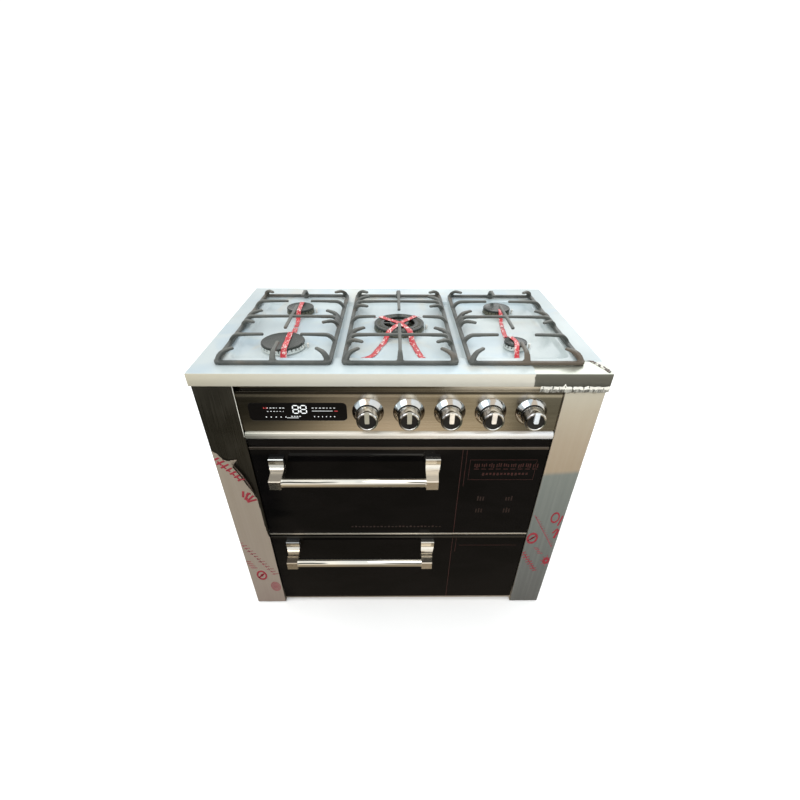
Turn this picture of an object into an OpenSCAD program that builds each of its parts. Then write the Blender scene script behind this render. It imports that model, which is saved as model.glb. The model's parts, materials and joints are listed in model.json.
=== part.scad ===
// Free-standing gas cooker with five burners, a drop-down oven door and a drawer below it.
// Millimetres, +Z up, the front faces -Y and the cook's right hand is +X.
// The origin is on the floor, in the middle of the width and of the whole depth.

/* [Cooktop] */
// Width of the cooktop
hob_w = 900; // [890:5:1000]
// Depth of the cooktop from its front edge to its back edge
hob_d = 585; // [580:5:640]
// Height of the folded edge round the cooktop
hob_edge_h = 30; // [26:1:40]
// Thickness of the cooktop sheet
hob_sheet = 1.5; // [1.2:0.1:2]
// Depth of the pressed tray below the rim
tray_drop = 8; // [5:0.5:10]
// Width of the sloping wall of the pressed tray
tray_slope = 10; // [6:1:14]
// Rim between the tray and the front and back edges
tray_rim_y = 76; // [70:1:90]
// Rim between the tray and the side edges
tray_rim_x = 66; // [60:1:80]

/* [Burners] */
// Radius of the large burner's cap
rapid_r = 51; // [45:0.5:54]
// Radius of a medium burner's cap
medium_r = 37; // [33:0.5:42]
// Radius of the small burner's cap
small_r = 27; // [24:0.5:32]
// Radius of the triple-ring burner's cap
wok_r = 64; // [58:0.5:68]
// Distance of a side burner from the middle line of its pan support
burner_dy = 118; // [112:1:124]
// Height of a crown above the tray
crown_h = 12; // [10:0.5:14]
// Thickness of a burner cap
cap_t = 5; // [4:0.5:6]
// Width of a flame slot
flame_slot_w = 2; // [1.5:0.1:3]
// Depth of a burner cup below the tray
cup_h = 34; // [28:1:40]
// Clearance between a cap and the crown that carries it
cap_clear = 0.3; // [0.2:0.05:0.6]
// How far a cap's locating rim reaches into its crown
cap_rim_h = 3; // [2:0.5:4]

/* [Pan supports] */
// Distance of the outer pan supports from the cooktop's side edges
grate_margin = 48; // [42:1:52]
// Length of one pan support from front to back
grate_l = 463; // [440:1:480]
// Gap between neighbouring pan supports
grate_gap = 20; // [15:1:30]
// Distance of the front rail from the cooktop's front edge
grate_front = 37; // [30:1:45]
// Width of the frame rail
frame_w = 10; // [8:0.5:12]
// Height of the frame rail
frame_h = 7; // [6:0.5:9]
// Radius of the frame's corners
frame_r = 12; // [11:1:24]
// Width of a raised bar
bar_w = 8; // [6:0.5:9]
// Depth of a raised bar
bar_h = 8; // [6:0.5:8]
// Height of the raised bars' tops above the cooktop rim
bar_top = 28; // [28:1:36]
// Gap between a pan support and the cooktop it stands on
seat_gap = 0.3; // [0.2:0.05:0.5]

/* [Casing] */
// Thickness of the casing sheets
sheet = 1.2; // [1:0.1:1.6]
// Inset of the casing under the cooktop's edge
casing_inset = 4; // [3:0.5:8]
// Width of each front stile
stile_w = 88; // [80:1:95]
// Gap below the casing sheets
skirt_gap = 3; // [2:0.5:8]
// Distance of the back panel from the cooktop's back edge
rear_gap = 28; // [25:1:40]
// Width of the fixing flanges on the side panels
flange_w = 16; // [12:1:20]
// Radius of a levelling foot
foot_r = 22; // [18:1:26]
// Height of the base pan above the floor
base_z = 14; // [12:1:18]

/* [Front] */
// Gap below the drawer front
plinth_gap = 21; // [20:1:30]
// Height of the drawer front
drawer_h = 287; // [275:1:310]
// Gap between the drawer front and the oven door
front_gap = 7; // [6.5:0.5:10]
// Height of the oven door
door_h = 304; // [295:1:340]
// Gap above the oven door
vent_gap = 3; // [2:0.5:6]
// Height of the black strip above the oven door
vent_h = 20; // [16:1:26]
// Height of the rounded strip below the control panel
nose_h = 22; // [18:1:26]
// Height of the control panel's face
panel_h = 104; // [100:1:120]
// Height of the set-back rail above the control panel
rail_h = 17; // [12:1:24]
// Side clearance of the fronts in their opening
side_clear = 2; // [1.8:0.1:3]
// Distance of the door face behind the cooktop's front edge
door_set = 6; // [5:0.5:8]
// Distance of the control panel's face behind the cooktop's front edge
panel_set = 8; // [7:0.5:12]
// Step from the control panel's face back to the rail
rail_step = 8; // [5:0.5:12]

/* [Controls] */
// Distance between neighbouring knobs
knob_pitch = 91.5; // [86:0.5:93]
// Distance of the last knob from the right end of the panel
knob_margin = 61.5; // [50:0.5:65]
// Radius of a knob at its base
knob_r = 24.5; // [22:0.5:26]
// Radius of a knob at its face
knob_face_r = 21; // [17:0.1:22]
// Distance of a knob's face from the panel
knob_len = 43; // [38:1:46]
// Radius of a bezel on the panel
bezel_r = 34; // [32:0.5:37]
// Height of a bezel
bezel_h = 12; // [9:0.5:14]
// Thickness of a bezel's floor
bezel_floor = 3; // [2:0.5:4]
// Gap between a knob and its bezel
knob_gap = 0.8; // [0.5:0.1:1.5]
// Travel of a knob when it is pushed
push = 3; // [2:0.5:4]
// Radius of a valve spindle
spindle_r = 4; // [3:0.25:5]
// Running clearance round a spindle
spindle_clear = 0.08; // [0.05:0.01:0.1]
// Gap between the display window and the first bezel
display_gap = 13.5; // [8:0.5:30]
// Height of the display window
display_h = 46; // [40:1:56]
// Distance of the display window from the left end of the panel
display_margin = 19; // [14:1:22]
// Corner radius of the display window
display_r = 10; // [4:0.5:14]
// Thickness of the display window
display_t = 2; // [1.5:0.5:4]

/* [Door and drawer] */
// Thickness of the front glasses
glass_t = 5; // [4:0.5:6]
// Depth of the oven door
door_t = 35; // [33:1:38]
// Depth of the drawer front
drawer_t = 20; // [16:1:24]
// Height of the aluminium strip on top of each front
trim_top_h = 7; // [6:0.5:9]
// Height of the aluminium strip below each front
trim_low_h = 5.5; // [5:0.5:8]
// Wall of the aluminium strips
trim_wall = 1.4; // [1:0.1:2]
// Width of the window in the door's steel frame
window_w = 440; // [360:5:520]
// Height of the window in the door's steel frame
window_h = 150; // [110:5:180]
// Distance of the hinge pins behind the door face
hinge_set = 11; // [10:0.5:12]
// Height of the hinge pins above the door's lower edge
hinge_rise = 8; // [7:0.5:10]
// Radius of the hinge pins
hinge_r = 2.5; // [2:0.1:3]
// Running clearance round the hinge pins
hinge_clear = 0.08; // [0.05:0.01:0.1]
// Length of each handle
handle_w = 413; // [360:1:440]
// Distance of the handles from the left end of the fronts
handle_margin = 42; // [30:1:60]
// Radius of the handle bars
handle_r = 10.5; // [9:0.5:13]
// Distance of the handle bars' middle from the front face
handle_out = 48; // [44:1:56]
// Distance of the door handle's bar below the door's top
door_handle_drop = 69; // [60:1:90]
// Distance of the drawer handle's bar below the drawer front's top
drawer_handle_drop = 54; // [50:1:80]
// Width of a handle post
post_w = 36; // [30:1:44]
// Height of a handle post's top above the bar's middle
post_rise = 40; // [34:1:44]
// Half height of a handle post's end block
post_half = 13.5; // [12:0.5:16]

/* [Oven] */
// Width of the oven cavity
oven_w = 600; // [560:5:640]
// Depth of the oven cavity
oven_d = 430; // [400:5:440]
// Distance of the oven's mouth inside the door's outline
mouth_margin = 27; // [25:1:32]
// Thickness of the oven liner's walls
liner_t = 1; // [0.8:0.1:1.4]
// Thickness of the insulation
wool_t = 20; // [15:1:22]
// Height of the shelf above the oven's floor
shelf_z = 140; // [120:1:150]
// Radius of the shelf's frame rod
rod_r = 3; // [2.5:0.1:4]
// Radius of the shelf's cross rods
wire_r = 1.6; // [1.2:0.1:2]
// Height of the baking tray
pan_h = 28; // [20:1:40]
// Height of the oven's floor plate above the liner's floor
plate_z = 34; // [30:1:40]
// Radius of the oven burner's tube
oven_tube_r = 10; // [8:0.5:12]
// Gap between the door seal and the closed door
seal_gap = 0.3; // [0.2:0.05:0.5]

/* [Drawer box] */
// Depth of the drawer box
box_d = 480; // [440:5:490]
// Height of the drawer box's walls
box_h = 195; // [150:1:197]
// Height of the drawer box's floor above the floor of the room
box_z = 45; // [40:1:50]
// Width of a runner, from the drawer box to the stile's return
runner_w = 14; // [12:0.5:18]
// Height of a runner
runner_h = 45; // [35:1:50]
// Wall of a runner's channel
runner_t = 1.5; // [1.2:0.1:2]
// Running clearance in a runner
runner_clear = 0.4; // [0.3:0.05:0.8]

/* [Gas] */
// Width of the square manifold tube
manifold_w = 20; // [16:1:24]
// Distance of the manifold's front face behind the panel's face
manifold_set = 38; // [36:1:44]
// Radius of a valve body
valve_r = 13; // [11:0.5:15]
// Radius of the supply pipes
pipe_r = 4; // [3:0.25:5]
// Radius of the gas inlet's thread
inlet_r = 10.48; // [8:0.01:13]
// Length of the gas inlet's thread
inlet_len = 16; // [14:1:20]

/* [Hidden] */
$fn = 48;

// Colours
steel = [0.72, 0.72, 0.70];
dark_steel = [0.45, 0.45, 0.44];
chrome = [0.85, 0.86, 0.88];
alloy = [0.78, 0.78, 0.76];
black_glass = [0.05, 0.05, 0.06];
iron = [0.30, 0.31, 0.31];
enamel = [0.10, 0.10, 0.11];
brass = [0.75, 0.60, 0.30];
porcelain = [0.90, 0.89, 0.85];
wool = [0.85, 0.82, 0.60];
smoked_glass = [0.30, 0.30, 0.32, 0.5];
lamp_glass = [0.95, 0.92, 0.80];

// Places along the depth: fy(d) is d behind the cooktop's front edge
glass_recess = 0.4;
post_front = handle_out + post_half;
reach = post_front - door_set - glass_recess;
y0 = -hob_d / 2 + reach / 2;
function fy(d) = y0 + d;
casing_front = fy(casing_inset);
door_face = fy(door_set);
door_back = door_face + door_t;
glass_face = door_face + glass_recess;
glass_back = glass_face + glass_t;
panel_face = fy(panel_set);
rail_front = panel_face + rail_step;
surround_gap = 3;
surround_front = door_back + surround_gap;
surround_back = surround_front + sheet;
back_out = fy(hob_d - rear_gap);
back_in = back_out - sheet;
grate_mid = fy(grate_front + grate_l / 2);

// Places across the width
side_x = hob_w / 2 - casing_inset;
side_in = side_x - sheet;
open_x = side_x - stile_w;
front_x = open_x - side_clear;
grate_w = (hob_w - 2 * grate_margin - 2 * grate_gap) / 3;
grate_pitch = grate_w + grate_gap;
knob_xs = [for (i = [0:4]) front_x - knob_margin - (4 - i) * knob_pitch];
display_x0 = -front_x + display_margin;
display_w = knob_xs[0] - bezel_r - display_gap - display_x0;
display_x = display_x0 + display_w / 2;
handle_x = -front_x + handle_margin;

// Places in height
drawer_z0 = plinth_gap;
drawer_z1 = drawer_z0 + drawer_h;
door_z0 = drawer_z1 + front_gap;
door_z1 = door_z0 + door_h;
vent_z0 = door_z1 + vent_gap;
vent_z1 = vent_z0 + vent_h;
nose_z1 = vent_z1 + nose_h;
panel_z1 = nose_z1 + panel_h;
hob_z0 = panel_z1 + rail_h;
hob_z = hob_z0 + hob_edge_h;
hob_under = hob_z - hob_sheet;
tray_z = hob_z - tray_drop;
tray_under = tray_z - hob_sheet;
knob_z = (nose_z1 + panel_z1) / 2;
hinge_y = door_face + hinge_set;
hinge_z = door_z0 + hinge_rise;
door_bar_z = door_z1 - door_handle_drop;
drawer_bar_z = drawer_z1 - drawer_handle_drop;

// Oven cavity
oven_z0 = door_z0 + mouth_margin;
oven_z1 = door_z1 - mouth_margin;
oven_h = oven_z1 - oven_z0;
oven_back = surround_back + oven_d;
rib_h = 4;
rib_w = 9;
shelf_clear = 3;
shelf_front = surround_back + 12;
shelf_d = oven_d - 30;
shelf_x = oven_w / 2 - shelf_clear;
shelf_mid_z = oven_z0 + shelf_z + rib_h + rod_r;
tube_z = oven_z0 + 4 + oven_tube_r;
lamp_r = 16;
lamp_x = -oven_w / 2 + 60;
lamp_z = oven_z1 - 45;

// Drawer and its runners
drawer_back = door_face + drawer_t;
box_x = open_x - runner_w;
runner_z = box_z + box_h / 2;
runner_y0 = drawer_back + 1;

// Burners: x, y and cap radius
burners = [
  [-grate_pitch, grate_mid - burner_dy, rapid_r],
  [-grate_pitch, grate_mid + burner_dy, medium_r],
  [0, grate_mid, wok_r],
  [grate_pitch, grate_mid + burner_dy, medium_r],
  [grate_pitch, grate_mid - burner_dy, small_r]];
crown_top = tray_z + crown_h;
neck_inset = 14;
neck_clear = 0.4;
crown_wall = 5;
electrode_r = 3;
electrode_offset = 7;
function neck_r(b) = b[2] - neck_inset;

// Manifold
manifold_y = panel_face + manifold_set + manifold_w / 2;
manifold_end = 40;
manifold_x0 = knob_xs[0] - manifold_end;
manifold_x1 = side_in - manifold_end;
inlet_in = 30;
shield_z = nose_z1;

// Shared shapes
function arc(cx, cy, r, a0, a1, n) =
  [for (i = [0:n]) let (a = a0 + (a1 - a0) * i / n) [cx + r * cos(a), cy + r * sin(a)]];
function round_rect(w, h, r, n = 6) = concat(
  arc(w / 2 - r, h / 2 - r, r, 0, 90, n), arc(-w / 2 + r, h / 2 - r, r, 90, 180, n),
  arc(-w / 2 + r, -h / 2 + r, r, 180, 270, n), arc(w / 2 - r, -h / 2 + r, r, 270, 360, n));
module box(lo, hi) translate(lo) cube(hi - lo);
module along_x(x0, x1, outline)
  translate([x0, 0, 0]) rotate([90, 0, 90]) linear_extrude(x1 - x0) polygon(outline);
module both_sides() {
  children();
  mirror([1, 0, 0]) children();
}
module rod(a, b, r) {
  d = b - a;
  translate(a) rotate([0, acos(d[2] / norm(d)), atan2(d[1], d[0])])
    cylinder(h = norm(d), r = r, $fn = 24);
}
module forward_at(x, y, z) translate([x, y, z]) rotate([90, 0, 0]) children();

// Casing
module side_panel() {
  height = hob_under - skirt_gap;
  front = casing_front + sheet;
  translate([0, 0, skirt_gap]) linear_extrude(height) polygon([
    [side_x, front], [side_x, back_out], [side_in - flange_w, back_out],
    [side_in - flange_w, back_out - sheet], [side_in, back_out - sheet],
    [side_in, front + sheet], [side_in - flange_w, front + sheet],
    [side_in - flange_w, front]]);
}
module side_panel_left() color(steel) mirror([1, 0, 0]) side_panel();
module side_panel_right() color(steel) side_panel();

module front_stile() translate([0, 0, skirt_gap])
  linear_extrude(hob_under - skirt_gap) polygon([
    [side_x, casing_front], [side_x, casing_front + sheet], [open_x + sheet, casing_front + sheet],
    [open_x + sheet, surround_back], [open_x, surround_back], [open_x, casing_front]]);
module front_stile_left() color(steel) mirror([1, 0, 0]) front_stile();
module front_stile_right() color(steel) front_stile();

louvre_w = 120;
louvre_h = 6;
louvre_pitch = 18;
louvre_n = 8;
louvre_xs = [-230, 0, 230];
inlet_x = manifold_x1 - inlet_in;
gland_in = 90;
gland_x = -side_x + gland_in;
gland_r = 8;
module back_panel() color(dark_steel) difference() {
  x1 = side_in - flange_w;
  box([-x1, back_in, skirt_gap], [x1, back_out, hob_under]);
  for (i = [0:louvre_n - 1], x = louvre_xs)
    box([x - louvre_w / 2, back_in - 1, oven_z0 + i * louvre_pitch],
        [x + louvre_w / 2, back_out + 1, oven_z0 + i * louvre_pitch + louvre_h]);
  forward_at(inlet_x, back_out + 1, knob_z) cylinder(h = sheet + 2, r = inlet_r + 0.5);
  forward_at(gland_x, back_out + 1, knob_z) cylinder(h = sheet + 2, r = gland_r);
}

deck_lip = 12;
module deck(z) along_x(-side_in, side_in, [
  [surround_back, z], [back_in, z], [back_in, z - deck_lip], [back_in - sheet, z - deck_lip],
  [back_in - sheet, z - sheet], [surround_back + sheet, z - sheet],
  [surround_back + sheet, z - deck_lip], [surround_back, z - deck_lip]]);
module inner_decks() color(dark_steel) {
  deck(oven_z0 - liner_t - wool_t);
  deck(shield_z);
}
module base_pan() color(dark_steel) along_x(-side_in, side_in, [
  [surround_back, base_z], [back_in, base_z], [back_in, base_z + deck_lip],
  [back_in - sheet, base_z + deck_lip], [back_in - sheet, base_z + sheet],
  [surround_back, base_z + sheet]]);

foot_stem_r = 6;
foot_pad_h = 6;
module levelling_feet() color(enamel)
  for (x = [-1, 1], y = [surround_back + 40, back_in - 60])
    translate([x * (side_in - 60), y, 0]) {
      cylinder(h = foot_pad_h, r = foot_r);
      cylinder(h = base_z, r = foot_stem_r);
    }

// Front frame round the oven's mouth, with the rail that carries the strips above the door
surround_z0 = oven_z0 - 46;
module oven_surround() color(enamel) {
  difference() {
    box([-open_x, surround_front, surround_z0], [open_x, surround_back, nose_z1]);
    box([-oven_w / 2, surround_front - 1, oven_z0], [oven_w / 2, surround_back + 1, oven_z1]);
  }
  along_x(-open_x, open_x, [
    [rail_front, vent_z0], [surround_front, vent_z0], [surround_front, vent_z0 + sheet],
    [rail_front + sheet, vent_z0 + sheet], [rail_front + sheet, nose_z1 - sheet],
    [surround_front, nose_z1 - sheet], [surround_front, nose_z1], [rail_front, nose_z1]]);
}

// Cooktop with its pressed tray
module tray_block(grow, top, bottom) {
  x = hob_w / 2 - tray_rim_x + grow;
  y_a = fy(tray_rim_y) - grow;
  y_b = grate_mid * 2 - fy(tray_rim_y) + grow;
  intersection() {
    along_x(-x, x, [[y_a, top], [y_b, top], [y_b - tray_slope, bottom], [y_a + tray_slope, bottom]]);
    rotate([90, 0, 0]) translate([0, 0, -y_b]) linear_extrude(y_b - y_a)
      polygon([[-x, top], [x, top], [x - tray_slope, bottom], [-x + tray_slope, bottom]]);
  }
}
module hob_top() color(steel) difference() {
  union() {
    difference() {
      box([-hob_w / 2, fy(0), hob_z0], [hob_w / 2, fy(hob_d), hob_z]);
      box([-hob_w / 2 + hob_sheet, fy(hob_sheet), hob_z0 - 1],
          [hob_w / 2 - hob_sheet, fy(hob_d - hob_sheet), hob_under]);
    }
    tray_block(hob_sheet, hob_z - hob_sheet / 2, tray_under);
  }
  tray_block(0, hob_z, tray_z);
  for (b = burners) {
    translate([b[0], b[1], tray_under - 1]) cylinder(h = tray_drop + 4, r = neck_r(b) + neck_clear);
    translate([b[0] + b[2] + electrode_offset, b[1], tray_under - 1])
      cylinder(h = tray_drop + 4, r = electrode_r);
  }
}

// Burners
nozzle_h = 10;
nozzle_r = 6;
jet_r = 3;
cup_wall = 3;
cup_floor = 6;
cup_draft = 2;
cup_flange = 8;
module burner_cups() color(alloy) for (b = burners) translate([b[0], b[1], 0]) {
  r = neck_r(b);
  boss_r = nozzle_r + cup_wall;
  translate([0, 0, tray_under]) mirror([0, 0, 1]) rotate_extrude() polygon([
    [jet_r, cup_h], [jet_r, cup_h - cup_floor], [r - cup_draft, cup_h - cup_floor],
    [r + neck_clear, 0], [r + cup_flange, 0], [r + cup_flange, cup_wall], [r + cup_wall, cup_wall],
    [r + cup_wall - cup_draft, cup_h - cup_wall], [boss_r, cup_h - cup_wall], [boss_r, cup_h]]);
  translate([0, 0, tray_under - cup_h - nozzle_h]) cylinder(h = nozzle_h, r = nozzle_r, $fn = 6);
}
flame_slot_h = 5;
crown_proud = 1;
crown_draft = 1.5;
crown_foot = 3;
crown_floor = 5;
neck_wall = 3;
neck_depth = 4;
module slots(r_in, r_out, n)
  for (i = [0:n - 1]) rotate([0, 0, i * 360 / n])
    translate([r_in, -flame_slot_w / 2, crown_top - flame_slot_h])
      cube([r_out - r_in, flame_slot_w, flame_slot_h + 1]);
module crown(b, slot_n) translate([b[0], b[1], 0]) difference() {
  r = b[2] + crown_proud;
  n = neck_r(b);
  wall_in = r - crown_draft - crown_wall;
  rotate_extrude() polygon([
    [n - neck_wall, tray_under - neck_depth], [n, tray_under - neck_depth], [n, tray_z],
    [r - crown_foot, tray_z], [r, tray_z + crown_foot], [r - crown_draft, crown_top],
    [wall_in, crown_top], [wall_in, tray_z + crown_floor], [n - neck_wall, tray_z + crown_floor]]);
  slots(wall_in - crown_draft, r + 1, slot_n);
}
wok_inner_r = 24;
spoke_w = 8;
spoke_t = 3;
spoke_z = tray_z + crown_floor - spoke_t / 2;
module wok_crown(b) {
  ring_in = wok_inner_r - crown_wall;
  crown(b, 40);
  translate([b[0], b[1], 0]) difference() {
    rotate_extrude() polygon([
      [ring_in, tray_z + crown_floor], [wok_inner_r, tray_z + crown_floor],
      [wok_inner_r, crown_top], [ring_in, crown_top]]);
    slots(ring_in - 2, wok_inner_r + 1, 16);
  }
  for (a = [0, 120, 240]) translate([b[0], b[1], 0]) rotate([0, 0, a])
    translate([wok_inner_r - spoke_t, -spoke_w / 2, spoke_z])
      cube([neck_r(b) - wok_inner_r + spoke_t, spoke_w, spoke_t]);
}
module burner_crowns() color(alloy) {
  crown(burners[0], 32);
  crown(burners[1], 24);
  wok_crown(burners[2]);
  crown(burners[3], 24);
  crown(burners[4], 18);
}
electrode_foot = 14;
electrode_flange = 2;
module spark_electrodes() color(porcelain) for (b = burners)
  translate([b[0] + b[2] + electrode_offset, b[1], tray_under - electrode_foot]) {
    cylinder(h = electrode_foot + crown_h, r = electrode_r - 0.2);
    cylinder(h = electrode_foot, r = electrode_r + electrode_flange);
  }

// Burner caps
cap_rim_t = 2;
cap_rim_play = 0.5;
cap_round = 2.5;
cap_dish = 0.6;
wok_ring_w = 24;
cap_spoke_w = 7;
cap_spoke_in = 1.5;
function rim_r(b) = b[2] + crown_proud - crown_draft - crown_wall - cap_clear - cap_rim_play;
// Outline of a cap's edge, from r_in on its underside round to the top
function cap_edge(b, r_in) = concat(
  [[r_in, 0], [rim_r(b) - cap_rim_t, 0], [rim_r(b) - cap_rim_t, -cap_rim_h],
   [rim_r(b), -cap_rim_h], [rim_r(b), 0], [b[2] - 1, 0], [b[2], 1]],
  arc(b[2] - cap_round, cap_t - cap_round, cap_round, 0, 90, 4));
module cap(b) color(enamel) translate([b[0], b[1], crown_top + cap_clear])
  rotate_extrude() polygon(concat(cap_edge(b, 0), [[0, cap_t - cap_dish]]));
module wok_cap(b) color(enamel) translate([b[0], b[1], crown_top + cap_clear]) {
  ring_in = b[2] - wok_ring_w;
  rotate_extrude() polygon(concat(cap_edge(b, ring_in), [[ring_in + 2, cap_t], [ring_in, cap_t - 1]]));
  rotate_extrude() polygon([[0, 0], [wok_inner_r, 0], [wok_inner_r + 1, 1],
    [wok_inner_r + 1, cap_t - 1], [wok_inner_r - 1, cap_t], [0, cap_t]]);
  for (a = [60, 180, 300]) rotate([0, 0, a])
    translate([wok_inner_r - 2, -cap_spoke_w / 2, cap_spoke_in])
      cube([ring_in - wok_inner_r + 4, cap_spoke_w, cap_t - 2 * cap_spoke_in]);
}
module cap_left_front() cap(burners[0]);
module cap_left_rear() cap(burners[1]);
module cap_centre() wok_cap(burners[2]);
module cap_right_rear() cap(burners[3]);
module cap_right_front() cap(burners[4]);

// Pan supports
foot_h = 1.5;
leg_set = 2;
tip_h = 6;
tip_bevel = 2;
root_w = bar_w + 5;
root_l = 8;
taper_l = 28;
frame_z = seat_gap + foot_h;
root_x = frame_w - 2;
root_z = frame_z + 1;
bend_start = 160;
bend_r = (bar_top - frame_z - frame_h) / (1 - sin(bend_start));
bend_x = leg_set - bend_r * cos(bend_start);
bend_z = bar_top - bend_r;
// A finger arches up from the frame at x = 0, runs along +X to its tip and is widest at its root
module finger(run) intersection() {
  rotate([90, 0, 0]) linear_extrude(root_w, center = true) polygon(concat(
    [[leg_set, root_z]], arc(bend_x, bend_z, bend_r, bend_start, 90, 6),
    [[run - tip_bevel, bar_top], [run, bar_top - tip_bevel], [run, bar_top - tip_h]],
    arc(bend_x, bend_z, bend_r - bar_h, 90, bend_start, 6), [[root_x, root_z]]));
  linear_extrude(bar_top + 1) polygon([
    [-1, -root_w / 2], [root_l, -root_w / 2], [taper_l, -bar_w / 2], [run + 1, -bar_w / 2],
    [run + 1, bar_w / 2], [taper_l, bar_w / 2], [root_l, root_w / 2], [-1, root_w / 2]]);
}
// A bridge has a leg at each end of its span
module bridge(span) {
  translate([-span / 2, 0, 0]) finger(span / 2 + 0.5);
  translate([span / 2, 0, 0]) rotate([0, 0, 180]) finger(span / 2 + 0.5);
}
module level_bar(half) translate([-bar_w / 2, -half, bar_top - tip_h])
  cube([bar_w, 2 * half, tip_h]);
module gusset(w_base, w_top, l) translate([0, 0, frame_z]) linear_extrude(frame_h)
  polygon([[leg_set, -w_base / 2], [l, -w_top / 2], [l, w_top / 2], [leg_set, w_base / 2]]);
// A hub is a web on the frame with a prong at each end
prong_run = 48;
prong_angle = 33;
prong_set = root_w / 2 * sin(prong_angle);
hub_half = 17;
web_end = 120;
web_set = 1;
module hub_web() rotate([90, 0, 0]) linear_extrude(2 * hub_half, center = true) polygon(concat(
  [[leg_set + web_set, root_z]], arc(bend_x, bend_z, bend_r - web_set, bend_start, web_end, 4),
  arc(bend_x, bend_z, bend_r - bar_h + web_set, web_end, bend_start, 4), [[root_x, root_z]]));
module hubs(y) for (s = [0, 1]) mirror([s, 0, 0]) translate([-grate_w / 2, y, 0]) {
  hub_web();
  for (a = [-1, 1]) translate([prong_set, a * hub_half, 0]) rotate([0, 0, a * prong_angle])
    finger(prong_run);
}
module grate_frame() {
  translate([0, 0, frame_z]) linear_extrude(frame_h) difference() {
    polygon(round_rect(grate_w, grate_l, frame_r));
    polygon(round_rect(grate_w - 2 * frame_w, grate_l - 2 * frame_w, frame_r - frame_w));
  }
  for (x = [-1, 1], y = [-1, 1])
    translate([x * (grate_w / 2 - frame_w * 0.6), y * (grate_l / 2 - frame_w * 0.6), seat_gap])
      cylinder(h = foot_h + 1, r = frame_w * 0.35);
}
hook_run = 46;
hook_set = frame_r * (1 - cos(45)) + 1.5;
module corner_hooks() for (s = [-1, 1], t = [-1, 1])
  translate([s * (grate_w / 2 - hook_set), t * (grate_l / 2 - hook_set), 0])
    rotate([0, 0, atan2(-t, -s)]) finger(hook_run);
module side_bars(y, run) for (s = [-1, 1])
  translate([s * grate_w / 2, y, 0]) rotate([0, 0, s > 0 ? 180 : 0]) finger(run);
module end_fingers(run) for (t = [-1, 1])
  translate([0, t * grate_l / 2, 0]) rotate([0, 0, t > 0 ? -90 : 90]) {
    finger(run);
    gusset(gusset_base, gusset_top, gusset_l);
  }
gusset_base = 26;
gusset_top = bar_w + 2;
gusset_l = 18;
rear_bar_run = 97;
front_bar_run = 85;
end_finger_run = 70;
mid_finger_half = 80;
module side_grate() color(iron) {
  grate_frame();
  corner_hooks();
  end_fingers(end_finger_run);
  side_bars(burner_dy, rear_bar_run);
  side_bars(-burner_dy, front_bar_run);
  bridge(grate_w);
  hubs(0);
  level_bar(mid_finger_half);
}
wok_tip = 48;
wok_bar_run = 68;
module centre_grate() color(iron) {
  grate_frame();
  corner_hooks();
  end_fingers(grate_l / 2 - wok_tip);
  side_bars(0, wok_bar_run);
  for (y = [-burner_dy, burner_dy]) {
    translate([0, y, 0]) bridge(grate_w);
    hubs(y);
  }
}
module grate_left() translate([-grate_pitch, grate_mid, hob_z]) side_grate();
module grate_centre() translate([0, grate_mid, hob_z]) centre_grate();
module grate_right() translate([grate_pitch, grate_mid, hob_z]) side_grate();

// Control panel with the set-back rail folded on top of it
display_clear = 0.4;
panel_lip = 26;
rail_lip = 14;
module control_panel() color(steel) difference() {
  union() {
    along_x(-front_x, front_x, [
      [panel_face, nose_z1], [panel_face + panel_lip, nose_z1],
      [panel_face + panel_lip, nose_z1 + sheet],
      [panel_face + sheet, nose_z1 + sheet], [panel_face + sheet, panel_z1 - sheet],
      [rail_front + sheet, panel_z1 - sheet], [rail_front + sheet, hob_under - sheet],
      [rail_front + rail_lip, hob_under - sheet], [rail_front + rail_lip, hob_under],
      [rail_front, hob_under], [rail_front, panel_z1], [panel_face, panel_z1]]);
    both_sides() box([front_x - 4, panel_face + sheet, nose_z1 + sheet],
                     [open_x, panel_face + sheet * 2, panel_z1 - sheet]);
  }
  for (x = knob_xs) forward_at(x, panel_face + sheet * 2 + 1, knob_z)
    cylinder(h = sheet * 2 + 2, r = bezel_hole_r);
  forward_at(display_x, panel_face + sheet + 1, knob_z) linear_extrude(sheet + 2)
    polygon(round_rect(display_w + 2 * display_clear, display_h + 2 * display_clear, display_r));
}
nose_r = nose_h / 2;
nose_front = panel_face + 3;
module panel_trim() color(chrome) along_x(-front_x, front_x, concat(
  arc(nose_front, vent_z1 + nose_r, nose_r, 90, 270, 12),
  [[rail_front, vent_z1], [rail_front, vent_z1 + nose_h]]));
module vent_strip() color(black_glass) along_x(-front_x, front_x, [
  [panel_face, vent_z0], [panel_face + 2, vent_z0], [panel_face + 2, vent_z1 - 2],
  [rail_front, vent_z1 - 2], [rail_front, vent_z1], [panel_face, vent_z1]]);

module display_window() color(black_glass)
  forward_at(display_x, panel_face + sheet, knob_z) linear_extrude(display_t)
    polygon(round_rect(display_w, display_h, display_r));
housing_rim = 6;
housing_d = 22;
housing_wall = 10;
module display_housing() color(enamel) {
  w = display_w / 2 + housing_rim;
  h = display_h / 2 + housing_rim;
  y = panel_face + sheet;
  difference() {
    box([display_x - w, y, knob_z - h], [display_x + w, y + housing_d, knob_z + h]);
    box([display_x - w + housing_wall, y - 1, knob_z - h + housing_wall],
        [display_x + w - housing_wall, y + housing_d - 3, knob_z + h - housing_wall]);
  }
}

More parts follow.
